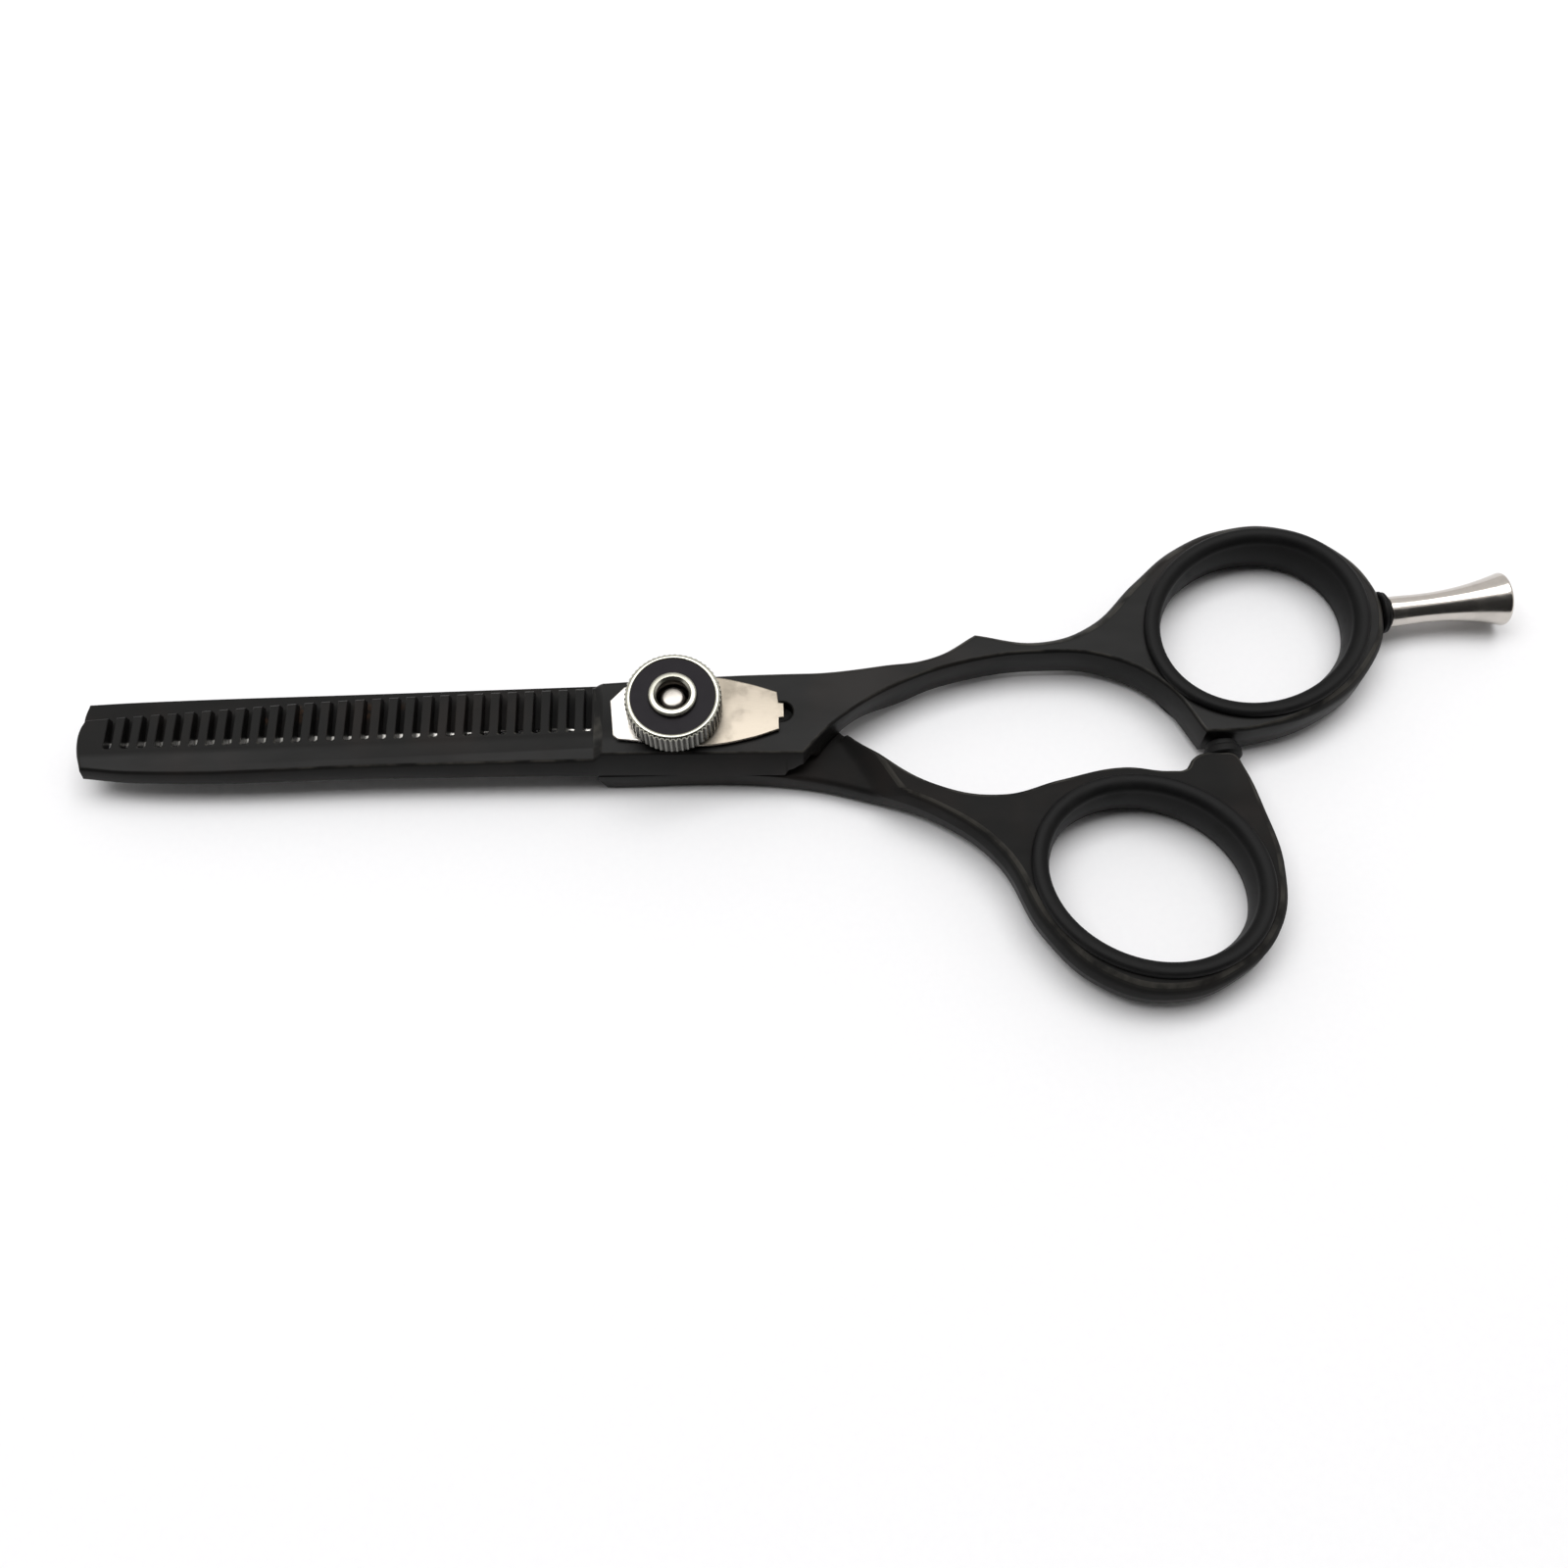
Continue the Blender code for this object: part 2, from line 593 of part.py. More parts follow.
# ---- ring inserts -----------------------------------------------------------------------
def ring_insert(name, centre, hole, turn):
    """A turned lipped ring, stretched so that its opening is an oval of even wall."""
    base = 10.0
    lip = base + INSERT_LIP
    wall = base + INSERT_WALL
    neck_low = SHANK_LOW - FIT
    neck_high = SHANK_TOP + FIT
    soft = 0.25
    profile = [
        (lip - soft, HEIGHT), (lip, HEIGHT - soft), (lip, neck_high), (wall, neck_high),
        (wall, neck_low), (lip, neck_low), (lip, soft), (lip - soft, 0),
        (base + soft, 0), (base, soft), (base - INSERT_CROWN, MID), (base, HEIGHT - soft),
        (base + soft, HEIGHT)]
    mesh = turned(profile, 56)
    for vertex in mesh.vertices:
        x, y, z = vertex.co / MM
        angle = math.atan2(y, x)
        reach = math.hypot(x, y) - base
        edge = Vector((hole[0] * math.cos(angle), hole[1] * math.sin(angle), z))
        normal = Vector((hole[1] * math.cos(angle), hole[0] * math.sin(angle), 0)).normalized()
        vertex.co = (edge + normal * reach) * MM
    place = Matrix.Translation(Vector((*centre, 0)) * MM)
    mesh.transform(place @ Matrix.Rotation(math.radians(turn), 4, "Z"))
    return add_object(name, mesh, PARTS, BLACK_RUBBER)


# ---- pivot and tension dial --------------------------------------------------------------
def pivot_screw():
    profile = [(0, SCREW_TOP), (0.8, SCREW_TOP - 0.2), (SCREW_END_RADIUS, SCREW_TOP - 0.8),
               (SCREW_END_RADIUS, 8.9), (THREAD_RADIUS, 8.7), (THREAD_RADIUS, PLATE_TOP),
               (SHAFT_RADIUS, PLATE_TOP), (SHAFT_RADIUS, HEAD_HEIGHT),
               (HEAD_RADIUS, HEAD_HEIGHT), (HEAD_RADIUS, 0.15), (HEAD_RADIUS - 0.15, 0), (0, 0)]
    screw = add_object("pivot_screw", turned(profile), PARTS, SILVER)
    for name, side in (("cut_flat_front", -1), ("cut_flat_back", 1)):
        low = min(side * FLAT_HALF, side * 5)
        high = max(side * FLAT_HALF, side * 5)
        boolean(screw, name, box((-5, low, MID), (5, high, PLATE_TOP + 0.5)))
    return screw


def pivot_bush():
    """The flanged nylon bush that the straight half turns on."""
    inner = SHAFT_RADIUS + FIT
    outer = inner + BUSH_WALL
    flange_low = HEAD_HEIGHT + FIT
    flange_high = flange_low + BUSH_FLANGE
    profile = [(outer, STRAIGHT_TOP - 0.05), (outer, flange_high), (BUSH_RADIUS, flange_high),
               (BUSH_RADIUS, flange_low), (inner, flange_low), (inner, STRAIGHT_TOP - 0.05)]
    return add_object("pivot_bush", turned(profile), PARTS, NYLON)


def click_plate():
    mesh = prism(outline_points(PLATE_OUTLINE), PLATE_LOW, PLATE_TOP)
    plate = add_object("click_plate", mesh, PARTS, BRUSHED_SILVER)
    boolean(plate, "cut_plate_hole", double_flat(SHAFT_RADIUS + FIT, FLAT_HALF + FIT, 5, 8))
    return plate


def tension_dial():
    inner = NUT_RADIUS + FIT
    profile = [(DIAL_RIM, DIAL_TOP), (DIAL_RADIUS - DIAL_CHAMFER, DIAL_TOP),
               (DIAL_RADIUS, DIAL_TOP - DIAL_CHAMFER), (DIAL_RADIUS, DIAL_LOW + DIAL_CHAMFER),
               (DIAL_RADIUS - DIAL_CHAMFER, DIAL_LOW), (inner, DIAL_LOW), (inner, DIAL_FLOOR),
               (DIAL_RIM, DIAL_FLOOR)]
    dial = add_object("tension_dial", turned(profile, 2 * KNURL_COUNT), PARTS, SILVER)
    knurl = []
    for index in range(2 * KNURL_COUNT):
        angle = math.pi * (index + 0.5) / KNURL_COUNT
        radius = DIAL_RADIUS + 0.02 if index % 2 else DIAL_RADIUS - KNURL_DEPTH
        knurl.append((radius * math.cos(angle), radius * math.sin(angle)))
    boolean(dial, "trim_knurl", prism(knurl, DIAL_LOW - 1, DIAL_TOP + 1), "INTERSECT")
    return dial


def dial_nut():
    bore = THREAD_RADIUS + FIT
    soft = 0.15
    profile = [(bore + soft, NUT_TOP), (NUT_RADIUS - soft, NUT_TOP), (NUT_RADIUS, NUT_TOP - soft),
               (NUT_RADIUS, DIAL_LOW), (bore, DIAL_LOW), (bore, NUT_TOP - soft)]
    return add_object("dial_nut", turned(profile, 40), PARTS, SILVER)


def dial_inlay():
    inner = NUT_RADIUS + FIT
    outer = DIAL_RIM - 0.12
    profile = [(inner, INLAY_TOP), (outer, INLAY_TOP), (outer, DIAL_FLOOR + FIT),
               (inner, DIAL_FLOOR + FIT)]
    return add_object("dial_inlay", turned(profile), PARTS, BLACK_INLAY)


# ---- bumper and finger rest ----------------------------------------------------------------
def bumper():
    foot = GAP
    waist = 1.25
    top = BUMPER_TOP - SHOULDER_Y
    profile = [(0, top), (BUMPER_RADIUS - 0.5, top), (BUMPER_RADIUS - 0.3, top - 0.15),
               (BUMPER_RADIUS - 0.3, waist), (BUMPER_RADIUS, waist - 0.15),
               (BUMPER_RADIUS, foot), (STEM_RADIUS, foot), (STEM_RADIUS, -STEM_LENGTH),
               (0, -STEM_LENGTH)]
    mesh = lay_along_x(turned(profile, 28), (BUMPER_X, SHOULDER_Y, MID), 90)
    return add_object("bumper", mesh, PARTS, BLACK_RUBBER)


def finger_rest_collar():
    bore = STUD_RADIUS + FIT
    shoulder = COLLAR_RADIUS - 0.4
    profile = [(bore, COLLAR_LENGTH), (shoulder, COLLAR_LENGTH),
               (COLLAR_RADIUS, COLLAR_LENGTH - 0.3), (COLLAR_RADIUS, 0.35), (shoulder, 0.1),
               (bore, 0.1)]
    mesh = lay_along_x(turned(profile, 28), (*REST_START, MID), REST_TURN)
    return add_object("finger_rest_collar", mesh, PARTS, BLACK_RUBBER)


def rest_radius(t):
    """The trumpet's radius, from a slight waist to the flared end."""
    if t < REST_WAIST:
        return mix(REST_ROOT_RADIUS, REST_WAIST_RADIUS, smoothstep(t, 0, REST_WAIST))
    return mix(REST_WAIST_RADIUS, REST_END_RADIUS, ((t - REST_WAIST) / (1 - REST_WAIST)) ** 2)


def finger_rest():
    root = COLLAR_LENGTH + FIT
    end = root + REST_LENGTH
    cup = 1.7
    profile = [(0, end - 0.9), (cup * 0.6, end - 0.6), (cup, end - 0.05),
               (cup + 0.25, end), (REST_END_RADIUS - 0.35, end)]
    for index in range(12, -1, -1):
        t = index / 12
        profile.append((rest_radius(t), mix(root, end - 0.4, t)))
    profile += [(STUD_RADIUS, root), (STUD_RADIUS, -STUD_LENGTH), (0, -STUD_LENGTH)]
    mesh = lay_along_x(turned(profile, 32), (*REST_START, MID), REST_TURN)
    return add_object("finger_rest", mesh, PARTS, SILVER)


def parent_to(empty_name, place, children):
    empty = bpy.data.objects.new(empty_name, None)
    PARTS.objects.link(empty)
    empty.location = Vector(place) * MM
    for child in children:
        child.parent = empty
        child.matrix_parent_inverse = Matrix.Translation(-Vector(place) * MM)


clear_scene()
PARTS = make_collection("thinning_shears")
CUTTERS = make_collection("cutters")

held_half = [
    comb_half(),
    ring_insert("finger_ring_insert", FINGER_CENTRE, FINGER_HOLE, FINGER_TURN),
    pivot_screw(),
    click_plate(),
    finger_rest_collar(),
    finger_rest(),
]
moving_half = [
    straight_half(),
    ring_insert("thumb_ring_insert", THUMB_CENTRE, THUMB_HOLE, THUMB_TURN),
    pivot_bush(),
    bumper(),
]
dial = [tension_dial(), dial_nut(), dial_inlay()]
parent_to("held_axis", (0, 0, 0), held_half)
parent_to("pivot_axis", (0, 0, 0), moving_half)
parent_to("dial_axis", (0, 0, 0), dial)
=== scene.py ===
"""Thinning shears: the finished surfaces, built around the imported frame.

Every size is in millimetres, and MM turns it into metres where a mesh is made. Each piece keeps
the outline and the heights of the CAD node that it stands for, at a finer step, and rides on the
same body: the toothed half with the finger ring is held_half, the plain half with the thumb ring
is thumb_half, and the tension dial is dial.
"""
import math

import bmesh
import bpy
from mathutils import Matrix, Vector, noise


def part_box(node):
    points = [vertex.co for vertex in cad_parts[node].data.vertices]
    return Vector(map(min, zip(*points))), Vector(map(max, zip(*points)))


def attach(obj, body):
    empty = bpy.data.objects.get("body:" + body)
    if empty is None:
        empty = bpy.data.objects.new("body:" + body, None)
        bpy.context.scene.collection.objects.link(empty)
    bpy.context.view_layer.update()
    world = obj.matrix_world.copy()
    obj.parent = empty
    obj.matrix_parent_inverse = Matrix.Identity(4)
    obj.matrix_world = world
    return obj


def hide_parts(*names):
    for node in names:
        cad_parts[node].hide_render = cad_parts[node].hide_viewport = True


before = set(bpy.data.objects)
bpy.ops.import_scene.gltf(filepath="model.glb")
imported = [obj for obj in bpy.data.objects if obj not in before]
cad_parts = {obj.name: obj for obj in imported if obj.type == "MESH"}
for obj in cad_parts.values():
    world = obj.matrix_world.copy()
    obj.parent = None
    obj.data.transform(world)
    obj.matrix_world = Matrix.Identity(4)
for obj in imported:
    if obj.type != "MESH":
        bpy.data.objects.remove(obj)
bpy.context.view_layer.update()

MM = 0.001


def node_box(node):
    """A CAD node's lowest and highest corners, in millimetres."""
    low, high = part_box(node)
    return low / MM, high / MM


# ---- sizes taken from the frame ------------------------------------------------------------
INSERT_BOX = node_box("finger_ring_insert")
THUMB_BOX = node_box("thumb_ring_insert")
PLATE_BOX = node_box("click_plate")
DIAL_BOX = node_box("tension_dial")
NUT_BOX = node_box("dial_nut")
INLAY_BOX = node_box("dial_inlay")
SCREW_BOX = node_box("pivot_screw")
BUMPER_BOX = node_box("bumper")

HEIGHT = INSERT_BOX[1].z     # both halves stacked at the pivot
MID = HEIGHT / 2             # plane between the halves
SHANK = 4.7                  # thickness of the shanks and of the ring metal
SHANK_LOW = MID - SHANK / 2
SHANK_TOP = MID + SHANK / 2
SHANK_FROM = (16, 30)        # where the block's height runs out into the shanks
GAP = 0.3                    # clearance between neighbouring pieces
FIT = 0.2                    # clearance of pins, plugs and pressed pieces
COMB_UNDER = MID + GAP / 2
STRAIGHT_TOP = MID - GAP / 2

# ---- the blades ------------------------------------------------------------------------------
BLOCK_START = -7.6
BLOCK_STEP = 1.0
BLADE_TIP = -63.1
COMB_TIP_TOP = 5.1
COMB_ROOT_TOP = 5.9
RIDGE_Y = -2.6
RIDGE_SOFT = 0.5             # half the width over which the ridge is rounded
TOOTH_FALL = 0.10
SPINE_FALL = 0.14
STRAIGHT_TIP_LOW = 1.5
STRAIGHT_ROOT_LOW = 0.6
BEVEL_Y = 2.2
BEVEL_FALL = 0.28
EDGE_GRIND = 1.5             # slope of the last millimetre, down to the cutting edge
EDGE_GRIND_Y = 1.25
EDGE_LEFT = 0.32             # thickness left at the cutting edge ...
EDGE_LAND_Y = 0.6            # ... from here on
DRAFT = 0.066                # how fast the comb half narrows with height, per mm
DRAFT_UNTIL = (14, 24)       # ... and where that fades out
COMB_ROUNDED_FROM = (20, 28)  # where the comb half's lower edges begin to be rounded
STRAIGHT_ROUNDED_FROM = (10.5, 13)  # where the straight half's upper edges do

SLOT_COUNT = 29
SLOT_WIDTH = 0.85
SLOT_FIRST = -59.75
SLOT_LAST = -9.25
SLOT_BOTTOM = -1.4
SLOT_CHAMFER = 0.09
SLOT_CORNER = 0.2            # bevel at the corners of a slot's root

COMB_RAMP = (0.35, 9.0)      # where past its heel edge the comb half grows to full thickness
STRAIGHT_RAMP = (0.35, 1.7)  # the straight half does so faster, at its back edge first ...
SCALLOP_PLACE = (18.8, -2.6) # ... because a ground facet runs across it from here
SCALLOP_AWAY = (0.866, 0.5)
SCALLOP = (-1.5, 1.3)
HEEL_LOW = (13.3, -6.35)
CROTCH = (17.6, -1.1)
HEEL_HIGH = (13.0, 5.3)
RELIEF_X = (11.3, 11.8, 13.4)  # the comb half's front heel corner is lifted along here
RELIEF_Y = (4.0, 5.0)
RELIEF_STEP = 0.7
RELIEF_RISE = 0.8

TAB_HOLE_CENTRE = (11.28, -0.18)
TAB_HOLE_RADIUS = 1.14
TAB_HOLE_DEPTH = 1.6
TAB_HOLE_CHAMFER = 0.12
TAB_HOLE_POINT = 0.5         # depth of the cone that the drill left

# ---- the rings -------------------------------------------------------------------------------
FINGER_CENTRE = ((INSERT_BOX[0] + INSERT_BOX[1]) / 2).xy
FINGER_HOLE = (11.0, 9.35)
FINGER_TURN = 30.0
THUMB_CENTRE = ((THUMB_BOX[0] + THUMB_BOX[1]) / 2).xy
THUMB_HOLE = (10.7, 9.0)
THUMB_TURN = -22.0
INSERT_LIP = 1.8
INSERT_WALL = 0.75
INSERT_CROWN = 0.3
LIP_THROAT = 1.1              # depth over which the lip rolls into the opening
LIP_FLAT = 0.15               # level strip between the bead and the throat
BEAD_LIFT = 0.08              # how far the bead stops short of the ring

# ---- the pivot -------------------------------------------------------------------------------
HEAD_RADIUS = SCREW_BOX[1].x
HEAD_HEIGHT = 0.85
BUSH_FLANGE = 0.4
BUSH_WALL = 0.5
SHAFT_RADIUS = 2.1
FLAT_HALF = 1.55
THREAD_RADIUS = 1.5
THREAD_PITCH = 0.35
THREAD_END = 8.7
SCREW_END_RADIUS = 1.25
SCREW_END_LOW = 8.9
SCREW_TOP = SCREW_BOX[1].z
PLATE_LOW = PLATE_BOX[0].z
PLATE_TOP = PLATE_BOX[1].z
DIAL_RADIUS = 5.05
DIAL_LOW = DIAL_BOX[0].z
DIAL_TOP = DIAL_BOX[1].z
DIAL_RIM = 4.4
DIAL_FLOOR = 8.3
KNURL_COUNT = 54
KNURL_DEPTH = 0.2
KNURL_RUNOUT = 0.16          # the grooves fade out over this width of the bevel
NUT_RADIUS = NUT_BOX[1].x
NUT_TOP = NUT_BOX[1].z
INLAY_TOP = INLAY_BOX[1].z
INLAY_SEAM = (0.04, 0.02)    # hairline gaps to the nut and to the rim

# ---- the bumper and the finger rest ------------------------------------------------------------
BUMPER_X = (BUMPER_BOX[0].x + BUMPER_BOX[1].x) / 2
BUMPER_TOP = BUMPER_BOX[1].y
BUMPER_RADIUS = 2.0
SHOULDER_Y = -6.05
STEM_RADIUS = 1.0
STEM_LENGTH = 2.6
REST_START = (77.1, 11.13)
REST_TURN = 5.6
COLLAR_LENGTH = 0.95
COLLAR_RADIUS = 2.45
REST_LENGTH = 13.2
REST_ROOT_RADIUS = 1.7
REST_WAIST_RADIUS = 1.62
REST_END_RADIUS = 2.9
REST_WAIST = 0.3               # how far along the rest its waist is
STUD_RADIUS = 1.1
STUD_LENGTH = 1.9

# ---- camera, light and floor, in metres --------------------------------------------------------
CAMERA_PLACE = (0.00873, -0.07832, 0.163218)
CAMERA_TILT = 24.0
CAMERA_HEADING = -2.0
CAMERA_LENS = 38.25
CAMERA_SENSOR = 36.0
CAMERA_NEAR = 0.005
KEY_PLACE = (-0.1, 0.35, 1.5)
KEY_SIZE = (2.1, 0.85)
KEY_TARGET = (0.015, 0, 0)
KEY_POWER = 23.5
CARD_PLACE = (0, -0.85, 0.75)
CARD_SIZE = (3.2, 1.9)
FLOOR_SIZE = 12
SKY_STRENGTH = 0.8

# ---- looks: wear, stains, painted highlights and painted shade in millimetres, colours in linear red, green and blue ---
WORN_AND_HIGHLIT_FROM = 4.9                # only edges above this height are lighter: worn coat and painted highlight
STAIN_X = (-47.0, -44.0, -31.0, -28.0)  # the stains fade in and out between these
STAIN_Y = (1.6, 2.4, 3.4, 4.2)
HONED_Y = (0.3, 0.5)           # the honed line ends here, give or take its wobble
HONED_WOBBLE = 0.5
SMEAR_AT = (4.2, 6.2)          # the dark smear on the plate, about the dial ...
SMEAR_FROM = (3.0, 4.4)        # ... and only past here
DULL_SPECULAR = 0.12           # the coating and the rubber shine little
CHAMFER_SHARE = 0.4            # how far the rounded edges lean towards flat chamfers

COAT_BLACK = (0.0072, 0.0071, 0.0068)
COAT_WARM = (0.0110, 0.0092, 0.0083)
# lighter coat on the upper edges: partly worn coating, partly painted highlight
COAT_WORN_AND_HIGHLIT = (0.034, 0.032, 0.028)
STAIN_BROWN = (0.040, 0.022, 0.013)
HONED_STEEL = (0.78, 0.76, 0.72)
RUBBER_BLACK = (0.0050, 0.0050, 0.0052)
RUBBER_DUSTY = (0.0085, 0.0084, 0.0082)
# painted shade inside the nut's bore and on the screw's end
PAINTED_BORE_SHADE = (0.070, 0.062, 0.054)
SCREW_STEEL = (0.40, 0.375, 0.345)
NUT_STEEL = (0.40, 0.395, 0.34)
REST_STEEL = (0.58, 0.545, 0.505)
DIAL_STEEL = (0.44, 0.435, 0.37)
DIAL_STEEL_DARK = (0.39, 0.385, 0.33)
# painted shade: the knurled side, darker than the rim
DIAL_SIDE_SHADED = (0.19, 0.187, 0.17)
# darker colour in the knurl's grooves
DIAL_GROOVE_DARK = (0.030, 0.028, 0.025)
PLATE_STEEL = (0.29, 0.257, 0.212)
# darker plate colour, used towards +y and in smudges
PLATE_DARKER = (0.195, 0.172, 0.140)
PLATE_STROKES = (0.35, 0.31, 0.255)
# painted highlight on the plate, bright towards -x
PLATE_PAINTED_HIGHLIGHT = (0.84, 0.80, 0.74)
PLATE_SMEAR = (0.17, 0.15, 0.12)
INLAY_BLACK = (0.0075, 0.0060, 0.0085)
INLAY_LIGHTER = (0.0110, 0.0090, 0.0120)
NYLON_WHITE = (0.74, 0.72, 0.66)
NYLON_YELLOWED = (0.66, 0.63, 0.56)
PAPER = (0.86, 0.86, 0.87)
PAPER_DARKER = (0.83, 0.83, 0.845)
CARD_BLACK = (0.02, 0.02, 0.02)
SKY_WARM = (1.0, 0.985, 0.97)

CORNER = "VECTOR"
SMOOTH = "AUTO"
CURVE_STEPS = 12
ROUND_STEPS = 96
RAMP_STEPS = 13                # cuts across a ramp between two heights
LOOP_MERGE = 0.02              # outline points closer than this become one
LEAST_EDGE = 0.05

# Outlines: x, y, edge rounding, and whether the point is a corner or on a smooth stretch.
COMB_OUTLINE = [
    (-62.4, -4.1, 0.25, CORNER),
    (-57.0, -4.8, 0.25, SMOOTH),
    (-30.0, -5.2, 0.25, SMOOTH),
    (-8.0, -5.65, 0.25, SMOOTH),
    (13.3, -6.35, 0.25, CORNER),
    (17.6, -1.1, 0.3, SMOOTH),
    (24.5, 3.2, 0.35, SMOOTH),
    (31.0, 5.4, 0.35, SMOOTH),
    (39.5, 6.35, 0.35, SMOOTH),
    (46.5, 5.5, 0.35, SMOOTH),
    (52.3, 1.9, 0.35, SMOOTH),
    (55.8, -3.7, 0.3, CORNER),
    (61.0, -3.5, 0.4, SMOOTH),
    (69.5, -0.8, 0.9, SMOOTH),
    (75.0, 4.2, 0.9, SMOOTH),
    (77.0, 9.0, 0.7, SMOOTH),
    (76.6, 13.6, 0.7, SMOOTH),
    (73.0, 18.7, 0.9, SMOOTH),
    (67.4, 21.5, 0.8, SMOOTH),
    (61.4, 21.5, 0.8, SMOOTH),
    (55.4, 19.15, 0.9, SMOOTH),
    (50.5, 15.05, 0.9, SMOOTH),
    (45.0, 9.8, 0.9, SMOOTH),
    (39.3, 7.9, 0.7, SMOOTH),
    (32.4, 8.85, 0.35, CORNER),
    (28.0, 6.35, 0.35, SMOOTH),
    (22.0, 5.25, 0.3, SMOOTH),
    (13.0, 5.4, 0.3, SMOOTH),
    (5.0, 5.35, 0.25, SMOOTH),
    (-8.0, 4.8, 0.25, CORNER),
    (-9.0, 4.45, 0.2, CORNER),
    (-35.8, 3.95, 0.2, SMOOTH),
    (-50.0, 3.2, 0.2, SMOOTH),
    (-59.5, 2.68, 0.2, SMOOTH),
    (-62.6, 2.45, 0.15, CORNER),
    (-63.0, 1.35, 0.2, SMOOTH),
    (-63.1, -0.6, 0.25, SMOOTH),
]
STRAIGHT_OUTLINE = [
    (-62.9, 0.7, 0.1, CORNER),
    (-60.0, 0.0, 0.1, SMOOTH),
    (-30.0, -0.3, 0.1, SMOOTH),
    (-10.2, -0.3, 0.1, SMOOTH),
    (-8.5, -1.6, 0.2, SMOOTH),
    (-8.3, -5.55, 0.3, CORNER),
    (11.5, -6.35, 0.5, SMOOTH),
    (19.4, -8.2, 0.6, SMOOTH),
    (27.5, -11.6, 0.6, SMOOTH),
    (33.0, -16.4, 0.8, SMOOTH),
    (37.0, -24.6, 1.0, SMOOTH),
    (42.4, -30.1, 1.0, SMOOTH),
    (49.2, -31.9, 1.0, SMOOTH),
    (55.8, -29.9, 1.0, SMOOTH),
    (60.5, -25.4, 1.0, SMOOTH),
    (61.9, -18.9, 0.9, SMOOTH),
    (60.7, -12.2, 0.7, SMOOTH),
    (59.2, -7.7, 0.35, SMOOTH),
    (58.4, -6.3, 0.3, SMOOTH),
    (56.8, -6.05, 0.3, SMOOTH),
    (55.0, -6.1, 0.3, SMOOTH),
    (53.9, -6.75, 0.3, SMOOTH),
    (53.2, -7.75, 0.3, SMOOTH),
    (51.6, -7.95, 0.3, SMOOTH),
    (46.5, -7.35, 0.35, SMOOTH),
    (40.0, -8.5, 0.4, SMOOTH),
    (33.8, -9.95, 0.4, SMOOTH),
    (27.0, -8.6, 0.35, SMOOTH),
    (20.6, -4.3, 0.3, SMOOTH),
    (17.3, -1.1, 0.25, CORNER),
    (13.0, 5.3, 0.3, CORNER),
    (3.0, 5.25, 0.3, SMOOTH),
    (-30.0, 5.1, 0.3, SMOOTH),
    (-58.0, 4.95, 0.3, SMOOTH),
    (-63.0, 4.8, 0.3, CORNER),
    (-63.35, 2.9, 0.25, SMOOTH),
]
PLATE_OUTLINE = [
    (-6.75, 1.4, 0.08, CORNER),
    (-6.45, -2.6, 0.08, CORNER),
    (-5.95, -3.05, 0.08, CORNER),
    (-3.4, -3.4, 0.08, CORNER),
    (3.2, -4.1, 0.08, SMOOTH),
    (7.8, -3.45, 0.08, SMOOTH),
    (10.9, -2.5, 0.08, CORNER),
    (10.9, -1.2, 0.08, CORNER),
    (11.45, -1.15, 0.08, CORNER),
    (11.45, 0.5, 0.08, CORNER),
    (10.9, 0.6, 0.08, CORNER),
    (10.8, 1.85, 0.08, CORNER),
    (7.8, 2.95, 0.08, SMOOTH),
    (3.2, 3.95, 0.08, SMOOTH),
    (-3.4, 3.7, 0.08, CORNER),
    (-5.3, 2.9, 0.08, CORNER),
]


# ---- mesh helpers --------------------------------------------------------------------------
def link(obj):
    bpy.context.scene.collection.objects.link(obj)
    return obj


def evaluated_mesh(obj):
    """The object's mesh with its curve or modifiers worked out."""
    graph = bpy.context.evaluated_depsgraph_get()
    graph.update()
    return bpy.data.meshes.new_from_object(obj.evaluated_get(graph))


def bmesh_to_mesh(bm, name):
    mesh = bpy.data.meshes.new(name)
    bmesh.ops.recalc_face_normals(bm, faces=bm.faces)
    bm.to_mesh(mesh)
    bm.free()
    return mesh


def smoothstep(value, low, high):
    t = min(max((value - low) / (high - low), 0.0), 1.0)
    return t * t * (3 - 2 * t)


def mix(a, b, t):
    return a + (b - a) * t


def steps_between(low, high, count):
    return [mix(low, high, index / (count - 1)) for index in range(count)]


def outline_points(points):
    """A closed Bezier through the points, as (x, y, edge) in order. Height carries the edge."""
    curve = bpy.data.curves.new("outline", "CURVE")
    curve.dimensions = "3D"
    curve.resolution_u = CURVE_STEPS
    spline = curve.splines.new("BEZIER")
    spline.bezier_points.add(len(points) - 1)
    spline.use_cyclic_u = True
    for knot, (x, y, edge, kind) in zip(spline.bezier_points, points):
        knot.co = (x, y, edge)
        knot.handle_left_type = kind
        knot.handle_right_type = kind
    obj = link(bpy.data.objects.new("outline", curve))
    mesh = evaluated_mesh(obj)
    loop = []
    for vertex in mesh.vertices:
        spot = vertex.co.copy()
        if not loop or (spot - loop[-1]).length > LOOP_MERGE:
            loop.append(spot)
    bpy.data.objects.remove(obj, do_unlink=True)
    bpy.data.curves.remove(curve)
    bpy.data.meshes.remove(mesh)
    return loop


def inward_normals(loop):
    """Unit normals into a counter-clockwise loop, lengthened at corners so edges stay even."""
    normals = []
    least_square = 0.6
    for index, spot in enumerate(loop):
        before = (spot - loop[index - 1]).xy.normalized()
        after = (loop[(index + 1) % len(loop)] - spot).xy.normalized()
        tangent = (before + after).normalized()
        square = max(tangent.dot(after), least_square)
        normals.append(Vector((-tangent.y, tangent.x)) / square)
    return normals


def quarter_arc(count):
    """Insets and depths of a rounded edge, as shares of its radius, from the face to the wall."""
    shares = []
    for t in steps_between(0, 1, count):
        angle = t * math.pi / 2
        inset = mix(1 - math.sin(angle), 1 - t, CHAMFER_SHARE)
        depth = mix(1 - math.cos(angle), t, CHAMFER_SHARE)
        shares.append((inset, depth))
    return shares


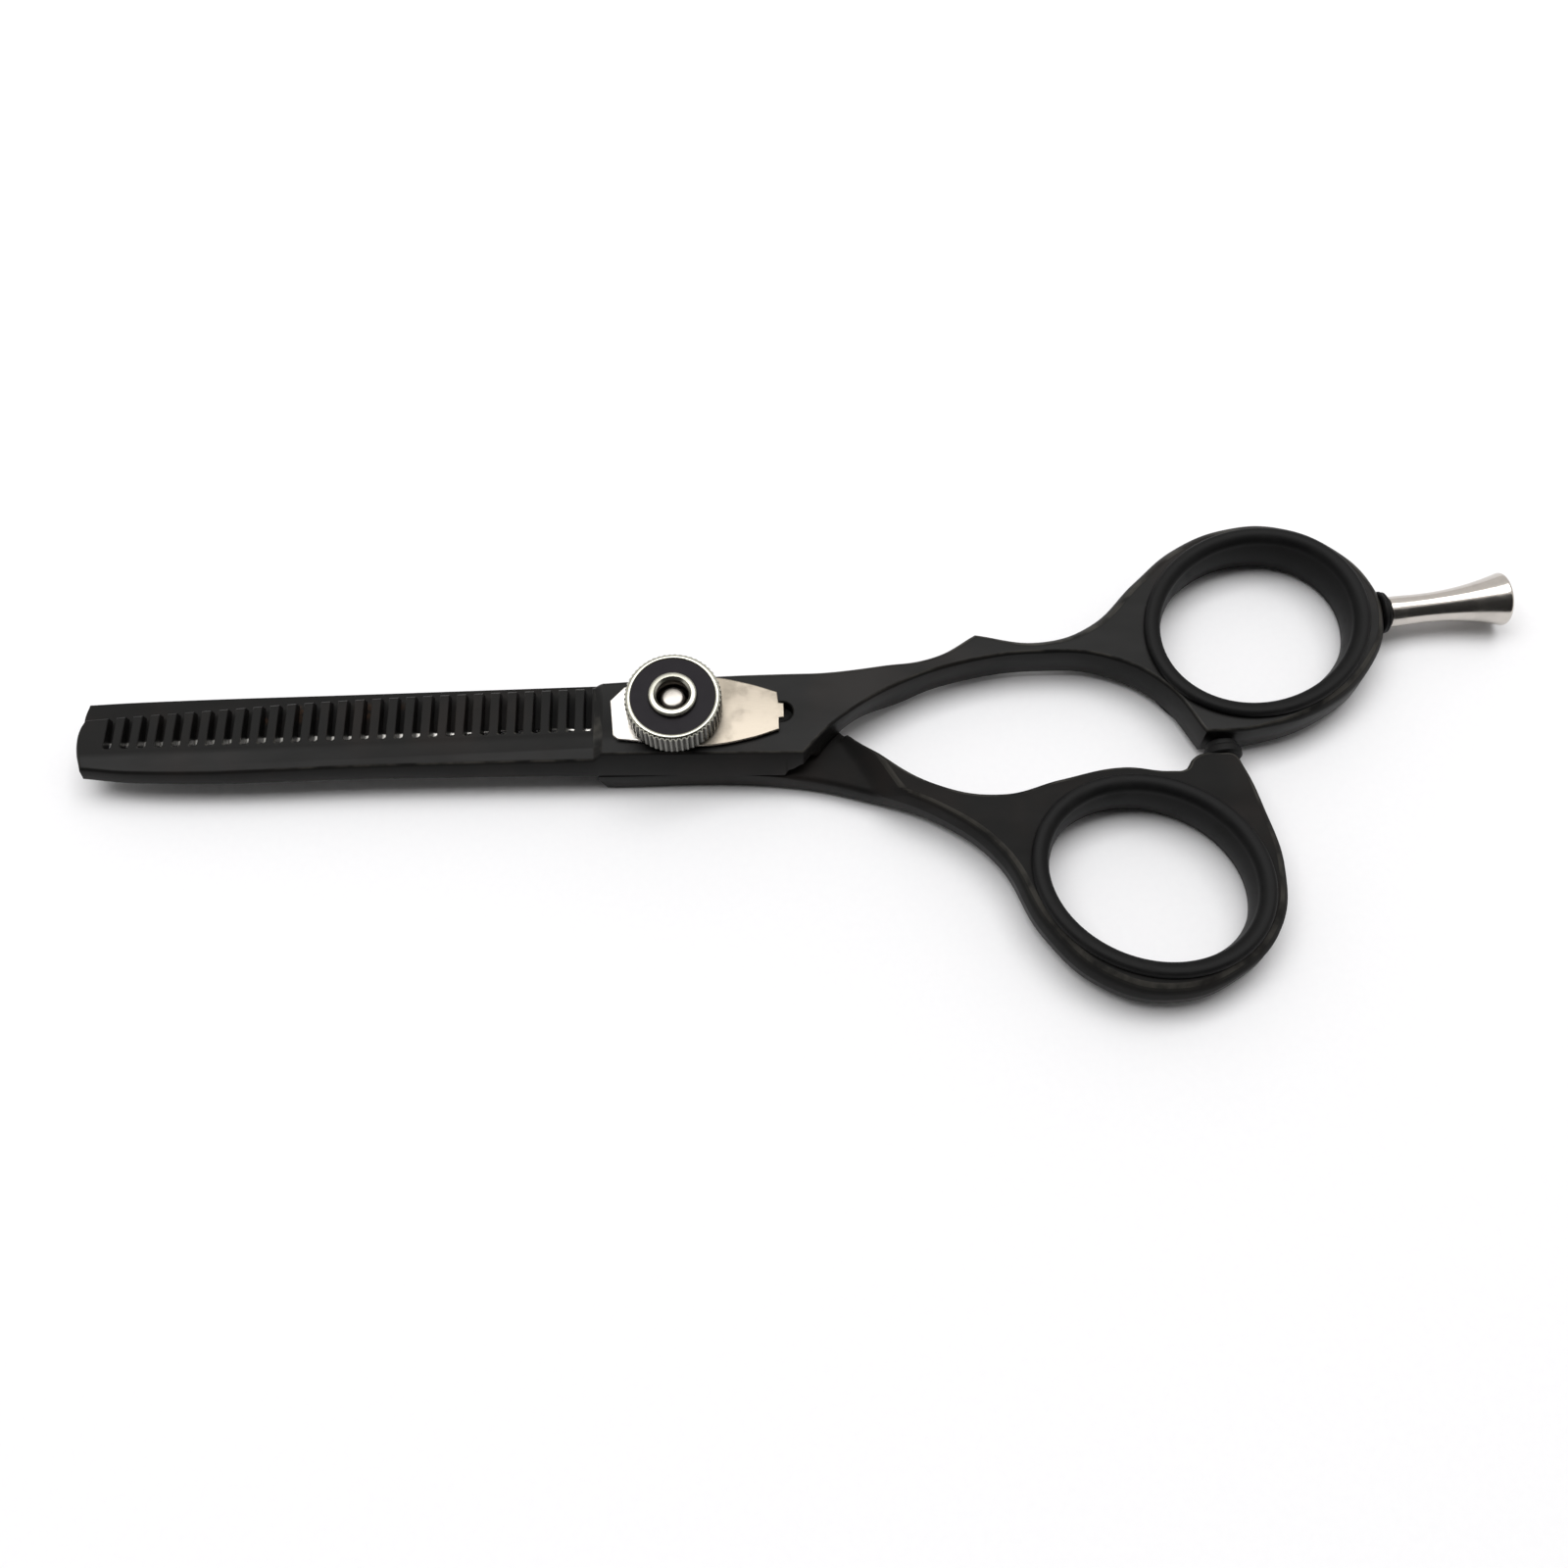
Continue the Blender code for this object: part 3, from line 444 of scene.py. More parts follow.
def rounded_plate(outline, low_edge, high_edge, cuts, height_at, spread_at, arc=6, rim=0.12):
    """A solid on an outline, with rounded rims, that follows its own heights.

    low_edge and high_edge scale the rounding at a point, cuts are the planes where the faces
    bend, height_at gives the underside and the top at a point, and spread_at narrows it. A
    narrow flat rim inside each rounding keeps its shading off the large faces.
    """
    loop = outline_points(outline)
    normals = inward_normals(loop)
    tall = 100.0
    bm = bmesh.new()
    rings = []
    steps = [(1, 0, rim)] + [(inset, depth, 0) for inset, depth in quarter_arc(arc)]
    for side, scale in ((0, low_edge), (1, high_edge)):
        for inset, depth, extra in (steps if side == 0 else reversed(steps)):
            ring = []
            for spot, normal in zip(loop, normals):
                edge = max(spot.z * scale(spot.x, spot.y), LEAST_EDGE)
                place = spot.xy + normal * (edge * inset + extra)
                z = edge * depth if side == 0 else tall - edge * depth
                ring.append(bm.verts.new((place.x, place.y, z)))
            rings.append(ring)
    for lower, upper in zip(rings, rings[1:]):
        for index in range(len(loop)):
            after = (index + 1) % len(loop)
            bm.faces.new((lower[index], lower[after], upper[after], upper[index]))
    bm.faces.new(list(reversed(rings[0])))
    bm.faces.new(rings[-1])
    for point, normal in cuts:
        geometry = bm.verts[:] + bm.edges[:] + bm.faces[:]
        bmesh.ops.bisect_plane(bm, geom=geometry, dist=1e-4, plane_co=point, plane_no=normal)
    bmesh.ops.triangulate(bm, faces=[f for f in bm.faces if len(f.verts) > 4])
    for vertex in bm.verts:
        x, y, z = vertex.co
        low, high = height_at(x, y)
        z = low + z if z < tall / 2 else high - (tall - z)
        vertex.co = (x * MM, y * spread_at(x, z) * MM, z * MM)
    return bmesh_to_mesh(bm, "plate")


def turned(profile, steps=ROUND_STEPS, shape_at=None):
    """A closed ring or solid of revolution. The (radius, height) profile runs down its outer side.

    shape_at may move a point: it gets the point's index on the profile, its angle, radius and
    height, and gives the radius and height to use.
    """
    bm = bmesh.new()
    columns = []
    poles = {}
    closed = profile[0][0] > 0
    for step in range(steps):
        angle = 2 * math.pi * step / steps
        column = []
        for index, (radius, height) in enumerate(profile):
            if radius == 0:
                if index not in poles:
                    poles[index] = bm.verts.new((0, 0, height * MM))
                column.append(poles[index])
                continue
            if shape_at:
                radius, height = shape_at(index, angle, radius, height)
            spot = (radius * math.cos(angle) * MM, radius * math.sin(angle) * MM, height * MM)
            column.append(bm.verts.new(spot))
        columns.append(column)
    count = len(profile) if closed else len(profile) - 1
    for step in range(steps):
        here = columns[step]
        there = columns[(step + 1) % steps]
        for index in range(count):
            after = (index + 1) % len(profile)
            corners = [here[index], here[after], there[after], there[index]]
            unique = list(dict.fromkeys(corners))
            bm.faces.new(unique)
    return bmesh_to_mesh(bm, "turned")


def arc_points(centre, radii, start, end, count):
    """Points on an ellipse in the (radius, height) plane, between two angles in degrees."""
    points = []
    for angle in steps_between(math.radians(start), math.radians(end), count):
        radius = centre[0] + radii[0] * math.cos(angle)
        points.append((radius, centre[1] + radii[1] * math.sin(angle)))
    return points


def oval_cylinder(centre, half_widths, turn, low, high):
    bm = bmesh.new()
    bmesh.ops.create_cone(bm, cap_ends=True, segments=ROUND_STEPS, radius1=MM, radius2=MM,
                          depth=(high - low) * MM)
    bmesh.ops.scale(bm, vec=(half_widths[0], half_widths[1], 1), verts=bm.verts)
    bmesh.ops.transform(bm, matrix=Matrix.Rotation(math.radians(turn), 4, "Z"), verts=bm.verts)
    shift = Vector((centre[0], centre[1], (low + high) / 2)) * MM
    bmesh.ops.translate(bm, vec=shift, verts=bm.verts)
    return bmesh_to_mesh(bm, "oval")


def cut(mesh, cutter_mesh):
    """The mesh with another one cut out of it."""
    obj = link(bpy.data.objects.new("cut_body", mesh))
    cutter = link(bpy.data.objects.new("cutter", cutter_mesh))
    modifier = obj.modifiers.new("cut", "BOOLEAN")
    modifier.operation = "DIFFERENCE"
    modifier.solver = "EXACT"
    modifier.object = cutter
    result = evaluated_mesh(obj)
    bpy.data.objects.remove(obj, do_unlink=True)
    bpy.data.objects.remove(cutter, do_unlink=True)
    return result


def lay_along_x(mesh, place, turn=0.0):
    """Turn a mesh made along +Z so that it points along +X, then turn and move it."""
    matrix = Matrix.Translation(Vector(place) * MM)
    matrix @= Matrix.Rotation(math.radians(turn), 4, "Z")
    matrix @= Matrix.Rotation(math.pi / 2, 4, "Y")
    mesh.transform(matrix)
    return mesh


def finished_piece(node, mesh, body, material, sharp=32):
    """The detailed piece that stands for a CAD node."""
    mesh.name = node + "_detailed"
    mesh.materials.clear()
    mesh.materials.append(material)
    mesh.shade_smooth()
    mesh.set_sharp_from_angle(angle=math.radians(sharp))
    obj = link(bpy.data.objects.new(node + "_detailed", mesh))
    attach(obj, body)
    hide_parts(node)


# ---- material helpers ------------------------------------------------------------------------
class Graph:
    """A material's node tree, with short calls for the nodes used here."""

    def __init__(self, name):
        self.material = bpy.data.materials.new(name)
        self.material.use_nodes = True
        self.nodes = self.material.node_tree.nodes
        self.links = self.material.node_tree.links
        self.shader = self.nodes["Principled BSDF"]
        self.place = self.nodes.new("ShaderNodeTexCoord").outputs["Object"]

    def put(self, socket, value):
        """Link a node's output, or set a number or a colour."""
        if isinstance(value, bpy.types.NodeSocket):
            self.links.new(value, socket)
        elif isinstance(value, tuple):
            socket.default_value = (*value, 1.0)
        else:
            socket.default_value = value

    def set(self, **values):
        """Set sockets of the Principled shader: base_color becomes Base Color, and so on."""
        titles = {"base_color": "Base Color", "specular": "Specular IOR Level"}
        for name, value in values.items():
            self.put(self.shader.inputs[titles.get(name, name.capitalize())], value)

    def scaled(self, factors):
        """The place, stretched: a large factor gives fine detail along that axis."""
        mapping = self.nodes.new("ShaderNodeMapping")
        mapping.inputs["Scale"].default_value = factors
        self.links.new(self.place, mapping.inputs["Vector"])
        return mapping.outputs["Vector"]

    def noise(self, size, detail=4.0, rough=0.55, vector=None):
        """Noise whose lumps are about size millimetres across."""
        texture = self.nodes.new("ShaderNodeTexNoise")
        texture.inputs["Scale"].default_value = 1.0 / (size * MM)
        texture.inputs["Detail"].default_value = detail
        texture.inputs["Roughness"].default_value = rough
        self.links.new(vector or self.place, texture.inputs["Vector"])
        return texture.outputs["Fac"]

    def math(self, operation, first, second=0.0):
        node = self.nodes.new("ShaderNodeMath")
        node.operation = operation
        self.put(node.inputs[0], first)
        self.put(node.inputs[1], second)
        return node.outputs["Value"]

    def add(self, first, second):
        return self.math("ADD", first, second)

    def times(self, first, *others):
        for other in others:
            first = self.math("MULTIPLY", first, other)
        return first

    def remap(self, value, from_low, from_high, to_low=0.0, to_high=1.0):
        node = self.nodes.new("ShaderNodeMapRange")
        node.interpolation_type = "SMOOTHSTEP"
        self.put(node.inputs["Value"], value)
        node.inputs["From Min"].default_value = from_low
        node.inputs["From Max"].default_value = from_high
        node.inputs["To Min"].default_value = to_low
        node.inputs["To Max"].default_value = to_high
        return node.outputs["Result"]

    def rise(self, value, low, high):
        """0 below low and 1 above high, for a place along an axis in millimetres."""
        return self.remap(value, low * MM, high * MM)

    def fall(self, value, low, high):
        """1 below low and 0 above high, for a place along an axis in millimetres."""
        return self.remap(value, low * MM, high * MM, 1.0, 0.0)

    def blend(self, first, second, share):
        node = self.nodes.new("ShaderNodeMix")
        node.data_type = "RGBA"
        self.put(node.inputs["Factor"], share)
        colour_a = [s for s in node.inputs if s.identifier == "A_Color"][0]
        colour_b = [s for s in node.inputs if s.identifier == "B_Color"][0]
        self.put(colour_a, first)
        self.put(colour_b, second)
        return [s for s in node.outputs if s.identifier == "Result_Color"][0]

    def axes(self, vector=None):
        node = self.nodes.new("ShaderNodeSeparateXYZ")
        self.links.new(vector or self.place, node.inputs["Vector"])
        return node.outputs["X"], node.outputs["Y"], node.outputs["Z"]

    def axis_distance(self):
        """Distance from the pivot axis."""
        x, y, _ = self.axes()
        return self.math("SQRT", self.add(self.times(x, x), self.times(y, y)))

    def face_slope(self):
        """How level a face is: 1 on level faces and 0 on walls."""
        geometry = self.nodes.new("ShaderNodeNewGeometry")
        return self.math("ABSOLUTE", self.axes(geometry.outputs["True Normal"])[2])

    def bump(self, height, depth, strength):
        """Bump of a height from 0 to 1, depth millimetres deep."""
        node = self.nodes.new("ShaderNodeBump")
        node.inputs["Strength"].default_value = strength
        node.inputs["Distance"].default_value = depth * MM
        self.links.new(height, node.inputs["Height"])
        self.links.new(node.outputs["Normal"], self.shader.inputs["Normal"])


def coat_material(name):
    """Satin black coating: warm patches, upper edges lighter as worn coating and painted highlight,
    and a fine sprayed grain.
    """
    graph = Graph(name)
    patches = graph.remap(graph.noise(9.0, 3.0), 0.45, 0.70)
    base = graph.blend(COAT_BLACK, COAT_WARM, patches)
    slope = graph.face_slope()
    # Rounded upper edges are painted lighter: partly worn coating, partly a painted highlight.
    on_edges = graph.times(graph.remap(slope, 0.66, 0.80), graph.remap(slope, 0.94, 0.98, 1.0, 0.0))
    raised = graph.rise(graph.axes()[2], WORN_AND_HIGHLIT_FROM, WORN_AND_HIGHLIT_FROM + 0.2)
    worn_and_highlit = graph.remap(graph.noise(3.0, 3.0, 0.55), 0.36, 0.62)
    base = graph.blend(base, COAT_WORN_AND_HIGHLIT, graph.times(on_edges, raised, worn_and_highlit))
    grain = graph.noise(0.12, 3.0, 0.6)
    smears = graph.noise(5.0, 4.0, 0.6, graph.scaled((0.35, 1.0, 1.0)))
    roughness = graph.add(graph.remap(smears, 0.3, 0.7, 0.33, 0.45), graph.times(grain, 0.06))
    return graph, base, roughness, grain


def finish_coat(graph, base, roughness, grain, metallic=0.0):
    graph.set(base_color=base, roughness=roughness, specular=DULL_SPECULAR, metallic=metallic)
    graph.bump(grain, 0.006, 0.5)
    return graph.material


def comb_material():
    return finish_coat(*coat_material("black_coating"))


def straight_material():
    """The same coating with the blade's honed edge line and brown stains on its inner face."""
    graph, base, roughness, grain = coat_material("black_coating_blade")
    x, y, z = graph.axes()
    inner_face = graph.rise(z, STRAIGHT_TOP - 0.12, STRAIGHT_TOP - 0.04)
    stained = graph.times(
        graph.rise(x, *STAIN_X[:2]), graph.fall(x, *STAIN_X[2:]),
        graph.rise(y, *STAIN_Y[:2]), graph.fall(y, *STAIN_Y[2:]), inner_face)
    spots = graph.remap(graph.noise(1.8, 3.0, 0.6), 0.52, 0.64)
    base = graph.blend(base, STAIN_BROWN, graph.times(spots, stained))
    on_blade = graph.fall(x, BLOCK_START - 2.0, BLOCK_START - 1.0)
    wobble = graph.times(graph.noise(1.1, 3.0, 0.6), HONED_WOBBLE * MM)
    honed = graph.times(inner_face, on_blade, graph.fall(graph.add(y, wobble), *HONED_Y))
    base = graph.blend(base, HONED_STEEL, honed)
    roughness = graph.add(roughness, graph.times(inner_face, 0.25))
    roughness = graph.times(roughness, graph.remap(honed, 0.0, 1.0, 1.0, 0.5))
    return finish_coat(graph, base, roughness, grain, honed)


def rubber_material():
    """Matt black moulded rubber, faintly dusty."""
    graph = Graph("moulded_rubber")
    dust = graph.remap(graph.noise(3.0, 5.0, 0.65), 0.45, 0.75)
    pores = graph.noise(0.16, 3.0, 0.6)
    graph.set(
        base_color=graph.blend(RUBBER_BLACK, RUBBER_DUSTY, dust),
        roughness=graph.add(graph.remap(dust, 0.0, 1.0, 0.50, 0.60), graph.times(pores, 0.06)),
        specular=DULL_SPECULAR)
    graph.bump(pores, 0.012, 0.5)
    return graph.material


def polished_material(name, tone, dullness, shaded_bore=None):
    """Polished steel with faint turning lines and fingerprints.

    tone is its colour and dullness its least roughness. The last argument, if given, is
    (radius, low, high) in millimetres: nearer the pivot axis than that radius and between
    those heights, the metal is darkened with painted shade.
    """
    graph = Graph(name)
    lines = graph.noise(0.10, 2.0, 0.5, graph.scaled((1.0, 0.08, 0.08)))
    prints = graph.remap(graph.noise(2.4, 4.0, 0.6), 0.45, 0.70)
    base = graph.blend(tone, tuple(0.88 * part for part in tone), prints)
    if shaded_bore:
        radius, low, high = shaded_bore
        # painted shade in the bore
        z = graph.axes()[2]
        bore_shade = graph.times(graph.fall(graph.axis_distance(), radius, radius + 0.08),
                          graph.fall(z, high - 0.1, high), graph.rise(z, low, low + 0.1))
        base = graph.blend(base, PAINTED_BORE_SHADE, bore_shade)
    dull = graph.remap(prints, 0.0, 1.0, dullness, dullness + 0.07)
    graph.set(base_color=base, roughness=graph.add(dull, graph.times(lines, 0.05)), metallic=1.0)
    graph.bump(lines, 0.003, 0.35)
    return graph.material


def dial_material():
    """Turned steel rim over a knurled side; the side is painted darker as shade, and darker still
    in the grooves.
    """
    graph = Graph("knurled_steel")
    groove = graph.fall(graph.axis_distance(), DIAL_RADIUS - KNURL_DEPTH, DIAL_RADIUS - 0.03)
    side = graph.fall(graph.axes()[2], DIAL_TOP - 0.40, DIAL_TOP - 0.25)
    # darker and rougher in the grooves of the knurl
    groove_dark = graph.times(groove, side)
    blotch = graph.noise(0.7, 4.0, 0.6)
    base = graph.blend(DIAL_STEEL, DIAL_STEEL_DARK, blotch)
    # painted shade: the side is a darker copy of the rim's steel
    base = graph.blend(base, DIAL_SIDE_SHADED, side)
    base = graph.blend(base, DIAL_GROOVE_DARK, graph.times(groove_dark, 0.9))
    lines = graph.noise(0.05, 2.0, 0.5, graph.scaled((0.15, 0.15, 1.0)))
    roughness = graph.add(graph.remap(blotch, 0.3, 0.7, 0.20, 0.30), graph.times(groove_dark, 0.25))
    graph.set(base_color=base, roughness=roughness, metallic=1.0)
    graph.bump(lines, 0.003, 0.3)
    return graph.material


def plate_material():
    """Fine brushed spring steel with a warm tint, smudged and darker towards +y, and painted bright
    towards -x as a highlight.
    """
    graph = Graph("brushed_plate")
    x, y, _ = graph.axes()
    strokes = graph.noise(0.10, 3.0, 0.6, graph.scaled((0.06, 1.0, 1.0)))
    smudge = graph.remap(graph.noise(3.2, 4.0, 0.6), 0.42, 0.70)
    # darker towards +y, and in smudges
    shade = graph.add(graph.times(graph.rise(y, -2.0, 3.0), 0.5), graph.times(smudge, 0.5))
    base = graph.blend(PLATE_STEEL, PLATE_DARKER, shade)
    base = graph.blend(base, PLATE_STROKES, graph.remap(strokes, 0.45, 0.75, 0.0, 0.30))
    # painted highlight: near-white towards -x
    base = graph.blend(base, PLATE_PAINTED_HIGHLIGHT, graph.fall(x, -1.0, 4.0))
    spread = graph.add(graph.axis_distance(), graph.times(y, -0.6))
    smear = graph.times(graph.fall(spread, *SMEAR_AT), graph.rise(x, *SMEAR_FROM))
    base = graph.blend(base, PLATE_SMEAR, graph.times(smear, 0.7))
    roughness = graph.add(graph.remap(smudge, 0.0, 1.0, 0.30, 0.40), graph.times(strokes, 0.10))
    graph.set(base_color=base, roughness=roughness, metallic=1.0, anisotropic=0.4)
    graph.bump(strokes, 0.004, 0.4)
    return graph.material


def inlay_material():
    """Semi-gloss black plastic disc with a fine grain."""
    graph = Graph("black_inlay")
    blotch = graph.noise(1.4, 4.0, 0.6)
    grain = graph.noise(0.08, 3.0, 0.6)
    graph.set(
        base_color=graph.blend(INLAY_BLACK, INLAY_LIGHTER, blotch),
        roughness=graph.add(graph.remap(blotch, 0.3, 0.7, 0.34, 0.42), graph.times(grain, 0.06)),
        specular=0.10)
    graph.bump(grain, 0.005, 0.4)
    return graph.material


def nylon_material():
    """Plain white nylon, slightly yellowed and speckled."""
    graph = Graph("nylon_bush")
    speck = graph.noise(0.5, 4.0, 0.6)
    graph.set(base_color=graph.blend(NYLON_WHITE, NYLON_YELLOWED, speck),
              roughness=graph.remap(speck, 0.3, 0.7, 0.42, 0.55))
    graph.bump(speck, 0.01, 0.4)
    return graph.material


# ---- the two halves --------------------------------------------------------------------------
def heel_direction(heel):
    """Square to a heel edge, towards the rings."""
    along = (Vector(CROTCH) - Vector(heel)).normalized()
    return Vector((abs(along.y), -along.x if along.y > 0 else along.x))


def shank_ramp(x, y, heel, ramp):
    """0 before a half's heel edge and 1 where its shank has its full thickness."""
    past = (Vector((x, y)) - Vector(CROTCH)).dot(heel_direction(heel))
    return smoothstep(past, *ramp)


def ramp_cuts(place, away, ramp):
    """Planes across a ramp that starts at a place and runs in a direction."""
    base = Vector((*place, 0))
    away = Vector((*away, 0))
    return [(base + away * step, away) for step in steps_between(*ramp, RAMP_STEPS)]


def cross_cuts(*places):
    return [((x, 0, 0), (1, 0, 0)) for x in places]


def length_cuts(*places):
    return [((0, y, 0), (0, 1, 0)) for y in places]


def ridge_fall(y):
    """Drop of the comb's top from its ridge, rounded where the two facets meet."""
    teeth = (y - RIDGE_Y) * TOOTH_FALL
    spine = (RIDGE_Y - y) * SPINE_FALL
    share = smoothstep(y, RIDGE_Y - RIDGE_SOFT, RIDGE_Y + RIDGE_SOFT)
    return mix(spine, teeth, share) + 0.5 * RIDGE_SOFT * TOOTH_FALL * (1 - abs(2 * share - 1))


def past_scallop(x, y):
    return (Vector((x, y)) - Vector(SCALLOP_PLACE)).dot(Vector(SCALLOP_AWAY))


def heel_relief(x, y):
    """How far the comb half's lower front corner is lifted clear of the straight half."""
    front = smoothstep(-y, RELIEF_Y[0], RELIEF_Y[1])
    first = RELIEF_STEP * smoothstep(x, RELIEF_X[0], RELIEF_X[1])
    return front * (first + RELIEF_RISE * smoothstep(x, RELIEF_X[1], RELIEF_X[2]))


def comb_heights(x, y):
    along = (x - BLADE_TIP) / (BLOCK_START - BLADE_TIP)
    ridge = mix(COMB_TIP_TOP, COMB_ROOT_TOP, min(max(along, 0), 1))
    step = min(max((x - BLOCK_START + BLOCK_STEP) / BLOCK_STEP, 0), 1)
    top = mix(ridge - ridge_fall(y), HEIGHT, step)
    top = mix(top, SHANK_TOP, smoothstep(x, *SHANK_FROM))
    low = mix(COMB_UNDER, SHANK_LOW, shank_ramp(x, y, HEEL_HIGH, COMB_RAMP))
    return low + heel_relief(x, y), top


def straight_heights(x, y):
    along = (x - BLADE_TIP) / (BLOCK_START - BLADE_TIP)
    low = mix(STRAIGHT_TIP_LOW, STRAIGHT_ROOT_LOW, min(max(along, 0), 1))
    low += max(BEVEL_Y - y, 0) * BEVEL_FALL + max(EDGE_GRIND_Y - y, 0) * EDGE_GRIND
    low = min(low, STRAIGHT_TOP - EDGE_LEFT)
    step = min(max((x - BLOCK_START + BLOCK_STEP) / BLOCK_STEP, 0), 1)
    low = mix(low, 0, step)
    low = mix(low, SHANK_LOW, smoothstep(x, *SHANK_FROM))
    facet = smoothstep(past_scallop(x, y), *SCALLOP)
    grown = min(shank_ramp(x, y, HEEL_LOW, STRAIGHT_RAMP), facet)
    return low, mix(STRAIGHT_TOP, SHANK_TOP, grown)


def comb_spread(x, z):
    """The block and the spine lean in with height; the shank and the ring do not."""
    return 1 - DRAFT * max(z - MID, 0) * (1 - smoothstep(x, *DRAFT_UNTIL))


def ring_hole(centre, hole, turn):
    reach = INSERT_WALL + FIT
    return oval_cylinder(centre, (hole[0] + reach, hole[1] + reach), turn, -2, HEIGHT + 2)


def screw_hole(low, high):
    return oval_cylinder((0, 0), (SHAFT_RADIUS + FIT, SHAFT_RADIUS + FIT), 0, low, high)


def pin_hole(radius, length, outside):
    """The hole for a pin that points back along its own axis from height 0."""
    return turned([(0, outside), (radius + FIT, outside), (radius + FIT, -length - FIT),
                   (0, -length - FIT)], 32)


def slot_cutter():
    """Cutters for the gaps between the teeth, flared at the top to chamfer their edges."""
    bm = bmesh.new()
    far = 8.0
    bottom = 1.0
    for x in steps_between(SLOT_FIRST, SLOT_LAST, SLOT_COUNT):
        rings = []
        for flare, lift in ((0, None), (0, -SLOT_CHAMFER), (2 * SLOT_CHAMFER, SLOT_CHAMFER)):
            half = SLOT_WIDTH / 2 + flare
            end = SLOT_BOTTOM - flare
            ring = []
            for dx, y in ((-half, far), (-half, end + SLOT_CORNER), (-half + SLOT_CORNER, end),
                          (half - SLOT_CORNER, end), (half, end + SLOT_CORNER), (half, far)):
                z = bottom if lift is None else comb_heights(x + dx, y)[1] + lift
                ring.append(bm.verts.new(Vector((x + dx, y, z)) * MM))
            rings.append(ring)
        for lower, upper in zip(rings, rings[1:]):
            for index in range(len(lower)):
                after = (index + 1) % len(lower)
                bm.faces.new((lower[index], lower[after], upper[after], upper[index]))
        bm.faces.new(list(reversed(rings[0])))
        bm.faces.new(rings[-1])
    return bmesh_to_mesh(bm, "slots")


def comb_half(material):
    cuts = cross_cuts(BLOCK_START - BLOCK_STEP, BLOCK_START, *steps_between(*SHANK_FROM, 15))
    cuts += length_cuts(*steps_between(RIDGE_Y - RIDGE_SOFT, RIDGE_Y + RIDGE_SOFT, 5))
    cuts += length_cuts(*[-y for y in steps_between(*RELIEF_Y, 4)])
    cuts += cross_cuts(*steps_between(*RELIEF_X[:2], 5), *steps_between(*RELIEF_X[1:], 5))
    cuts += ramp_cuts(CROTCH, heel_direction(HEEL_HIGH), COMB_RAMP)
    mesh = rounded_plate(
        COMB_OUTLINE,
        lambda x, y: smoothstep(x, *COMB_ROUNDED_FROM),
        lambda x, y: 1,
        cuts, comb_heights, comb_spread)
    mesh = cut(mesh, slot_cutter())
    above = 8
    mesh = cut(mesh, screw_hole(2, above))
    mouth = TAB_HOLE_RADIUS + TAB_HOLE_CHAMFER
    hole_floor = HEIGHT - TAB_HOLE_DEPTH
    tab_hole = turned([(0, above), (mouth, above), (mouth, HEIGHT),
                       (TAB_HOLE_RADIUS, HEIGHT - TAB_HOLE_CHAMFER), (TAB_HOLE_RADIUS, hole_floor),
                       (0, hole_floor - TAB_HOLE_POINT)], 48)
    tab_hole.transform(Matrix.Translation(Vector((*TAB_HOLE_CENTRE, 0)) * MM))
    mesh = cut(mesh, tab_hole)
    mesh = cut(mesh, ring_hole(FINGER_CENTRE, FINGER_HOLE, FINGER_TURN))
    stud_hole = pin_hole(STUD_RADIUS, STUD_LENGTH, 3)
    mesh = cut(mesh, lay_along_x(stud_hole, (*REST_START, MID), REST_TURN))
    finished_piece("comb_half", mesh, "held_half", material)


def straight_half(material):
    cuts = cross_cuts(BLOCK_START - BLOCK_STEP, BLOCK_START, *steps_between(*SHANK_FROM, 15))
    cuts += length_cuts(BEVEL_Y, EDGE_GRIND_Y, EDGE_LAND_Y)
    cuts += ramp_cuts(CROTCH, heel_direction(HEEL_LOW), STRAIGHT_RAMP)
    cuts += ramp_cuts(SCALLOP_PLACE, SCALLOP_AWAY, SCALLOP)
    mesh = rounded_plate(
        STRAIGHT_OUTLINE,
        lambda x, y: 1,
        lambda x, y: smoothstep(x, *STRAIGHT_ROUNDED_FROM),
        cuts, straight_heights, lambda x, z: 1)
    seat = HEAD_HEIGHT + BUSH_FLANGE + 2 * FIT
    bore = SHAFT_RADIUS + BUSH_WALL + 2 * FIT
    head_room = HEAD_RADIUS + FIT
    mouth = head_room + 0.3
    above = 5
    below = -2
    pocket = turned([(0, above), (bore, above), (bore, seat), (head_room, seat), (head_room, 0.1),
                     (mouth, -0.2), (mouth, below), (0, below)])
    mesh = cut(mesh, pocket)
    mesh = cut(mesh, ring_hole(THUMB_CENTRE, THUMB_HOLE, THUMB_TURN))
    stem_hole = pin_hole(STEM_RADIUS, STEM_LENGTH, 2)
    mesh = cut(mesh, lay_along_x(stem_hole, (BUMPER_X, SHOULDER_Y, MID), 90))
    finished_piece("straight_half", mesh, "thumb_half", material)


